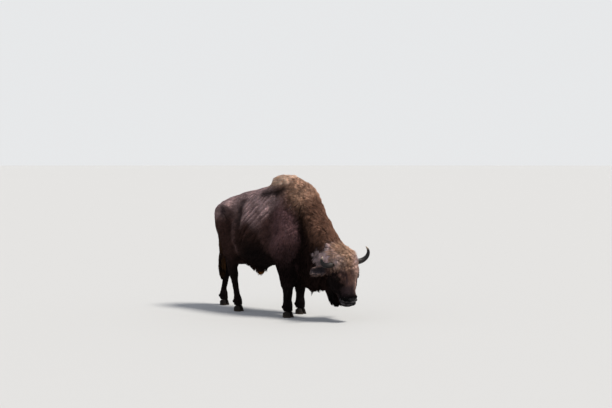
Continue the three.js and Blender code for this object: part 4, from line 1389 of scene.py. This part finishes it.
def shortened(root, tip, limit, past):
    """The share of a lock that ends no farther than past outside the CAD's outline, or 0 if none does."""
    for share in (1.0, 0.85, 0.70, 0.57, 0.45, 0.35, 0.25, 0):
        point = Vector(root + (tip - root) * share)
        place, normal, _, _ = limit.find_nearest(point)
        if (point - place).dot(normal) < 0 or (point - place).length < past:
            break
    return share


def draw_in(end, limit, past, high, near):
    """Moves an end of a lock that is past to near outside the CAD's outline back to about past outside it."""
    point = Vector(end)
    place, normal, _, _ = limit.find_nearest(point)
    if (point - place).dot(normal) > past and (point - place).length < near:
        end[:] = place + normal * (past - THINNING * (1 - high))


def fit(locks, surface, depth):
    """Keeps the locks over the skin and close to the CAD's outline, and drops those that hang past it."""
    skin = surface.tree()
    limit, _ = cad_tree()
    deep = depth[surface.tris].mean(1)
    root, bend, tip, length, past = (locks[k] for k in ("root", "bend", "tip", "length", "past"))
    high = rng.uniform(0.45, 1.0, len(root))
    loose = locks["free"] > LOOSE
    hangs = locks["hang"] > HANGING
    fits = np.ones(len(root), bool)
    for i in range(len(root)):
        if hangs[i]:
            share = shortened(root[i], tip[i], limit, past[i] + CUT * high[i])
            fits[i] = share > 0
            bend[i] = root[i] + (bend[i] - root[i]) * share
            tip[i] = root[i] + (tip[i] - root[i]) * share
        if loose[i]:
            draw_in(bend[i], limit, past[i], high[i], length[i])
            draw_in(tip[i], limit, past[i], high[i], length[i])
        point = Vector(tip[i])
        place, normal, face, _ = skin.find_nearest(point)
        low = deep[face] * high[i] * 0.8
        top = deep[face] * (0.75 + 0.35 * high[i])
        if loose[i]:
            top = UNLIMITED if hangs[i] else top + past[i] + LIFTED
        lift = (point - place).dot(normal)
        move = place + normal * min(max(lift, low), top) - point
        if move.length > 0.5 * length[i]:
            move = move * (0.5 * length[i] / move.length)
        tip[i] = point + move
    locks["root"] = root - locks["out"] * ROOTED
    for name, values in locks.items():
        locks[name] = values[fits]


def lock_mesh(name, locks, picked, joints):
    """One mesh of the picked locks, each a thin three-sided spike of the given number of joints."""
    take = {key: values[picked] for key, values in locks.items()}
    n = len(picked)
    width = take["width"] * rng.uniform(0.75, 1.25, n)
    out = take["out"] + FLAT_SIDE
    verts, quads, tris = spikes(take["root"], take["bend"], take["tip"], out, width, joints)
    piece = new_object(name, verts.reshape(-1, 3), [quads, tris])

    level = np.array([k / joints for k in range(joints) for _ in range(3)] + [1.0])
    across = np.array([0, 1, 0.5] * joints + [0.5])
    spot = np.column_stack([across - 0.5, level - 0.5]) * PATCH
    at_vertex = (take["uv"][:, None] + spot[None]).reshape(-1, 2)
    corners = np.concatenate([quads.ravel(), tris.ravel()])
    layer = piece.data.uv_layers.new(name="OFBake")
    layer.uv.foreach_set("vector", at_vertex[corners].astype(np.float32).ravel())

    own = rng.uniform(0.86, 1.14, n) * (1 + 0.45 * streaks(take["root"]))
    warm = rng.normal(0, 0.03, n)
    hue = np.column_stack([1 + warm, np.ones(n), 1 - warm])
    # Painted shade: each lock darker toward its root.
    shade = SHADE_AT_ROOT + SHADE_GAIN * level
    colour = take["tint"][:, None] * hue[:, None] * (own[:, None] * shade)[:, :, None]
    paint(piece.data, colour.reshape(-1, 3))
    return piece


GROUPS = {  # pieces of the coat, by the kinds of hair in them
    "back": ("rear", "belly"),
    "shoulder": ("shoulder", "hump"),
    "neck": ("neck",),
    "mane": ("mane",),
    "haunch": ("hind", "tail"),
    "arm": ("arm",),
    "feet": ("shank", "pastern"),
    "face": ("head", "muzzle", "ear", "fringe"),
    "crown": ("crown", "shock"),
    "beard": ("beard",),
    "tufts": ("tuft", "sheath", "switch"),
}


def make_coat(surface, body, shares, traits, tint):
    """Makes the coat's pieces, each of one group of kinds, split where it would have too many triangles."""
    locks = grow(surface, body, shares, traits, tint)
    comb(locks)
    fit(locks, surface, traits["depth"])
    material = coat_material()
    kinds = list(COATS)
    for group, members in GROUPS.items():
        joints = max(COATS[m][-1] for m in members)
        of_group = np.flatnonzero(np.isin(locks["kind"], [kinds.index(m) for m in members]))
        triangles = len(of_group) * (6 * (joints - 1) + 4)
        parts = max(1, math.ceil(triangles / LOCK_LIMIT))
        order = of_group[np.argsort(locks["root"][of_group, 1])]
        for i, picked in enumerate(np.array_split(order, parts)):
            name = f"coat_{group}_{i + 1}" if parts > 1 else "coat_" + group
            piece = lock_mesh(name, locks, picked, joints)
            wear(piece, material)


# --- horns

# Joints of the horns in the head's frame, told for the left side, each with its radius.
LEFT_HORN = [
    (-0.090, 0.070, -0.052, 0.037),
    (-0.080, 0.105, -0.054, 0.038),
    (-0.072, 0.170, -0.058, 0.034),
    (-0.058, 0.232, -0.048, 0.030),
    (-0.040, 0.278, -0.018, 0.025),
    (-0.026, 0.298, 0.026, 0.019),
    (-0.020, 0.292, 0.068, 0.013),
    (-0.022, 0.272, 0.100, 0.004),
]
RIGHT_HORN = LEFT_HORN[:3] + [
    (-0.060, 0.238, -0.056, 0.030),
    (-0.042, 0.288, -0.038, 0.025),
    (-0.028, 0.314, -0.006, 0.019),
    (-0.022, 0.316, 0.024, 0.013),
    (-0.020, 0.306, 0.050, 0.004),
]
HORNS = {"left": LEFT_HORN, "right": RIGHT_HORN}
HORN_SLIM = 0.97  # how thick a horn is, as a share of what its joints say
HORN_RIDGES = 21
HORN_BASE, HORN_DARK, HORN_TIP = linear(58, 52, 48), linear(26, 24, 26), linear(176, 160, 138)


def along_joints(joints, t):
    """Places on a smooth curve through the joints, at t from 0 to 1."""
    joints = np.array(joints, float)
    padded = np.vstack([2 * joints[0] - joints[1], joints, 2 * joints[-1] - joints[-2]])
    s = np.clip(t, 0, 1) * (len(joints) - 1)
    i = np.minimum(s.astype(int), len(joints) - 2)
    f = (s - i)[:, None]
    a, b, c, d = (padded[i + k] for k in range(4))
    return 0.5 * (2 * b + (c - a) * f + (2 * a - 5 * b + 4 * c - d) * f**2 + (3 * b - a - 3 * c + d) * f**3)


def make_horn(side, material):
    """A horn that tapers along its joints, ridged near the base, with a pale tip."""
    rings, sides = 90, 28
    t = np.linspace(0, 1, rings)
    path = along_joints(HORNS[side], t)
    centre, radius = path[:, :3] * SIDES[side], path[:, 3] * HORN_SLIM
    along = unit(np.gradient(centre, axis=0))
    aside = unit(np.cross(along, np.array([1.0, 0, 0])))
    lift = np.cross(aside, along)
    growth = t * 2 * np.pi * HORN_RIDGES + 1.3 * np.sin(t * 23)
    ridges = 1 + 0.016 * np.sin(growth) * rise(t, 0.55, 0.15) + 0.008 * np.sin(t * 61)
    turns = turns_of(sides)
    lobes = 1 + 0.03 * np.sin(3 * turns[None] + 5 * t[:, None])
    reach = (radius * ridges)[:, None] * lobes
    spokes = np.cos(turns)[None, :, None] * aside[:, None] + np.sin(turns)[None, :, None] * lift[:, None]
    verts = from_head(centre[:, None] + reach[:, :, None] * spokes)
    ends = from_head([centre[0], centre[-1] + along[-1] * radius[-1]])
    level = np.append(np.repeat(t, sides), [0, 1])[:, None]
    streak = 0.85 + 0.3 * np.append(np.tile(np.abs(np.sin(turns * 4.5)), rings), [0.5, 0.5])[:, None]
    tint = blend(HORN_BASE, HORN_DARK, rise(level, 0.2, 0.55))
    tint = blend(tint, HORN_TIP, rise(level, 0.80, 0.97))
    swept_piece("horn_sheath_" + side, verts, ends, tint * streak, material, "horn_" + side)


# --- hooves

HOOF_DARK, HOOF_WORN = linear(34, 29, 26), linear(74, 64, 54)


def make_claw(name, material):
    """One claw: a wall that slopes to the toe, ringed by its growth, over a flat sole."""
    low, high = np.array(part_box(name))
    length, width, tall = high - low
    middle_y = (low[1] + high[1]) / 2
    pair = [name.rsplit("_", 1)[0] + end for end in ("_outer", "_inner")]
    track = np.mean([np.array(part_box(claw)).mean(0)[1] for claw in pair])
    cleft = np.sign(track - middle_y)  # +1 where the other claw is on the left of this one, -1 on the right
    rings, sides = 30, 40
    turns = turns_of(sides)
    u, v = np.cos(turns), np.sin(turns)
    toe = np.clip(u, 0, 1) ** 2  # the toe is narrow and bends in toward the cleft
    flat_inside = np.where(v * cleft > 0, 0.80, 1.0)
    plan_x = np.sign(u) * np.abs(u) ** 0.85
    plan_y = np.sign(v) * np.abs(v) ** 0.8 * flat_inside * (1 - 0.45 * toe) + cleft * 0.28 * toe
    levels = np.linspace(0, 1, rings)
    verts = []
    for t in levels:
        rounded = 0.30 * rise(t, 0.74, 1.0) ** 2  # the top closes in under the hair
        ridge = 1 + 0.006 * math.sin(t * 2 * math.pi * 6 + 0.8) * rise(t, 0.05, 0.2)
        bevel = 1 - 0.06 * rise(t, 0.06, 0.0)  # round the edge of the sole
        front = high[0] - length * (0.30 * t + 0.5 * rounded)
        back = low[0] + length * (0.05 + 0.04 * t + 0.5 * rounded)
        x = (front + back) / 2 + plan_x * (front - back) / 2 * ridge * bevel
        y = middle_y + plan_y * width / 2 * (1 - 0.14 * t - rounded) * ridge * bevel
        drop = (1 - u) / 2 * 0.22 * tall * rise(t, 0.3, 1.0)  # the wall is lower at the heel
        verts.append(np.column_stack([x, y, low[2] + tall * t - drop]))
    ends = [verts[0].mean(0), verts[-1].mean(0)]
    levels = np.append(np.repeat(levels, sides), [0, 1])
    tint = blend(HOOF_DARK, HOOF_WORN, rise(levels, 0.35, 0.0)[:, None] * 0.8)
    swept_piece("hoof_" + name, np.array(verts), ends, tint, material, name)


def make_dewclaw(name, material):
    """A blunt horny nub behind the fetlock, pointing back and down."""
    low, high = np.array(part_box(name))
    centre, half = (low + high) / 2, (high - low) / 2
    rings, sides = 12, 20
    turns = turns_of(sides)
    levels = (np.arange(rings) + 0.5) / rings
    verts = []
    for t in levels:
        reach = math.sin(math.pi * t) ** 0.7 * (1.1 - 0.35 * t)
        z = centre[2] + half[2] * (1 - 2 * t)
        x = centre[0] + half[0] * (0.25 - 0.5 * t) + np.cos(turns) * half[0] * 0.9 * reach
        y = centre[1] + np.sin(turns) * half[1] * 0.95 * reach
        verts.append(np.column_stack([x, y, np.full(sides, z)]))
    ends = [centre + [half[0] * 0.25, 0, half[2]], centre + [-half[0] * 0.25, 0, -half[2]]]
    worn = rise(np.append(np.repeat(1 - levels, sides), [1, 0]), 0.5, 0.0)[:, None] * 0.6
    tint = blend(HOOF_DARK, HOOF_WORN, worn) * 0.5
    swept_piece("hoof_" + name, np.array(verts), ends, tint, material, name)


# --- all together

make_stage()
make_coat(*make_skin())
eye_look, lid_look, horn_look, hoof_look = eye_material(), lid_material(), horn_material(), hoof_material()
for side in SIDES:
    make_eyeball(side, eye_look)
    make_lid(side, lid_look)
    make_lashes(side, lid_look)
    make_horn(side, horn_look)
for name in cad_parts:
    if "dewclaw" in name:
        make_dewclaw(name, hoof_look)
    elif "claw" in name:
        make_claw(name, hoof_look)
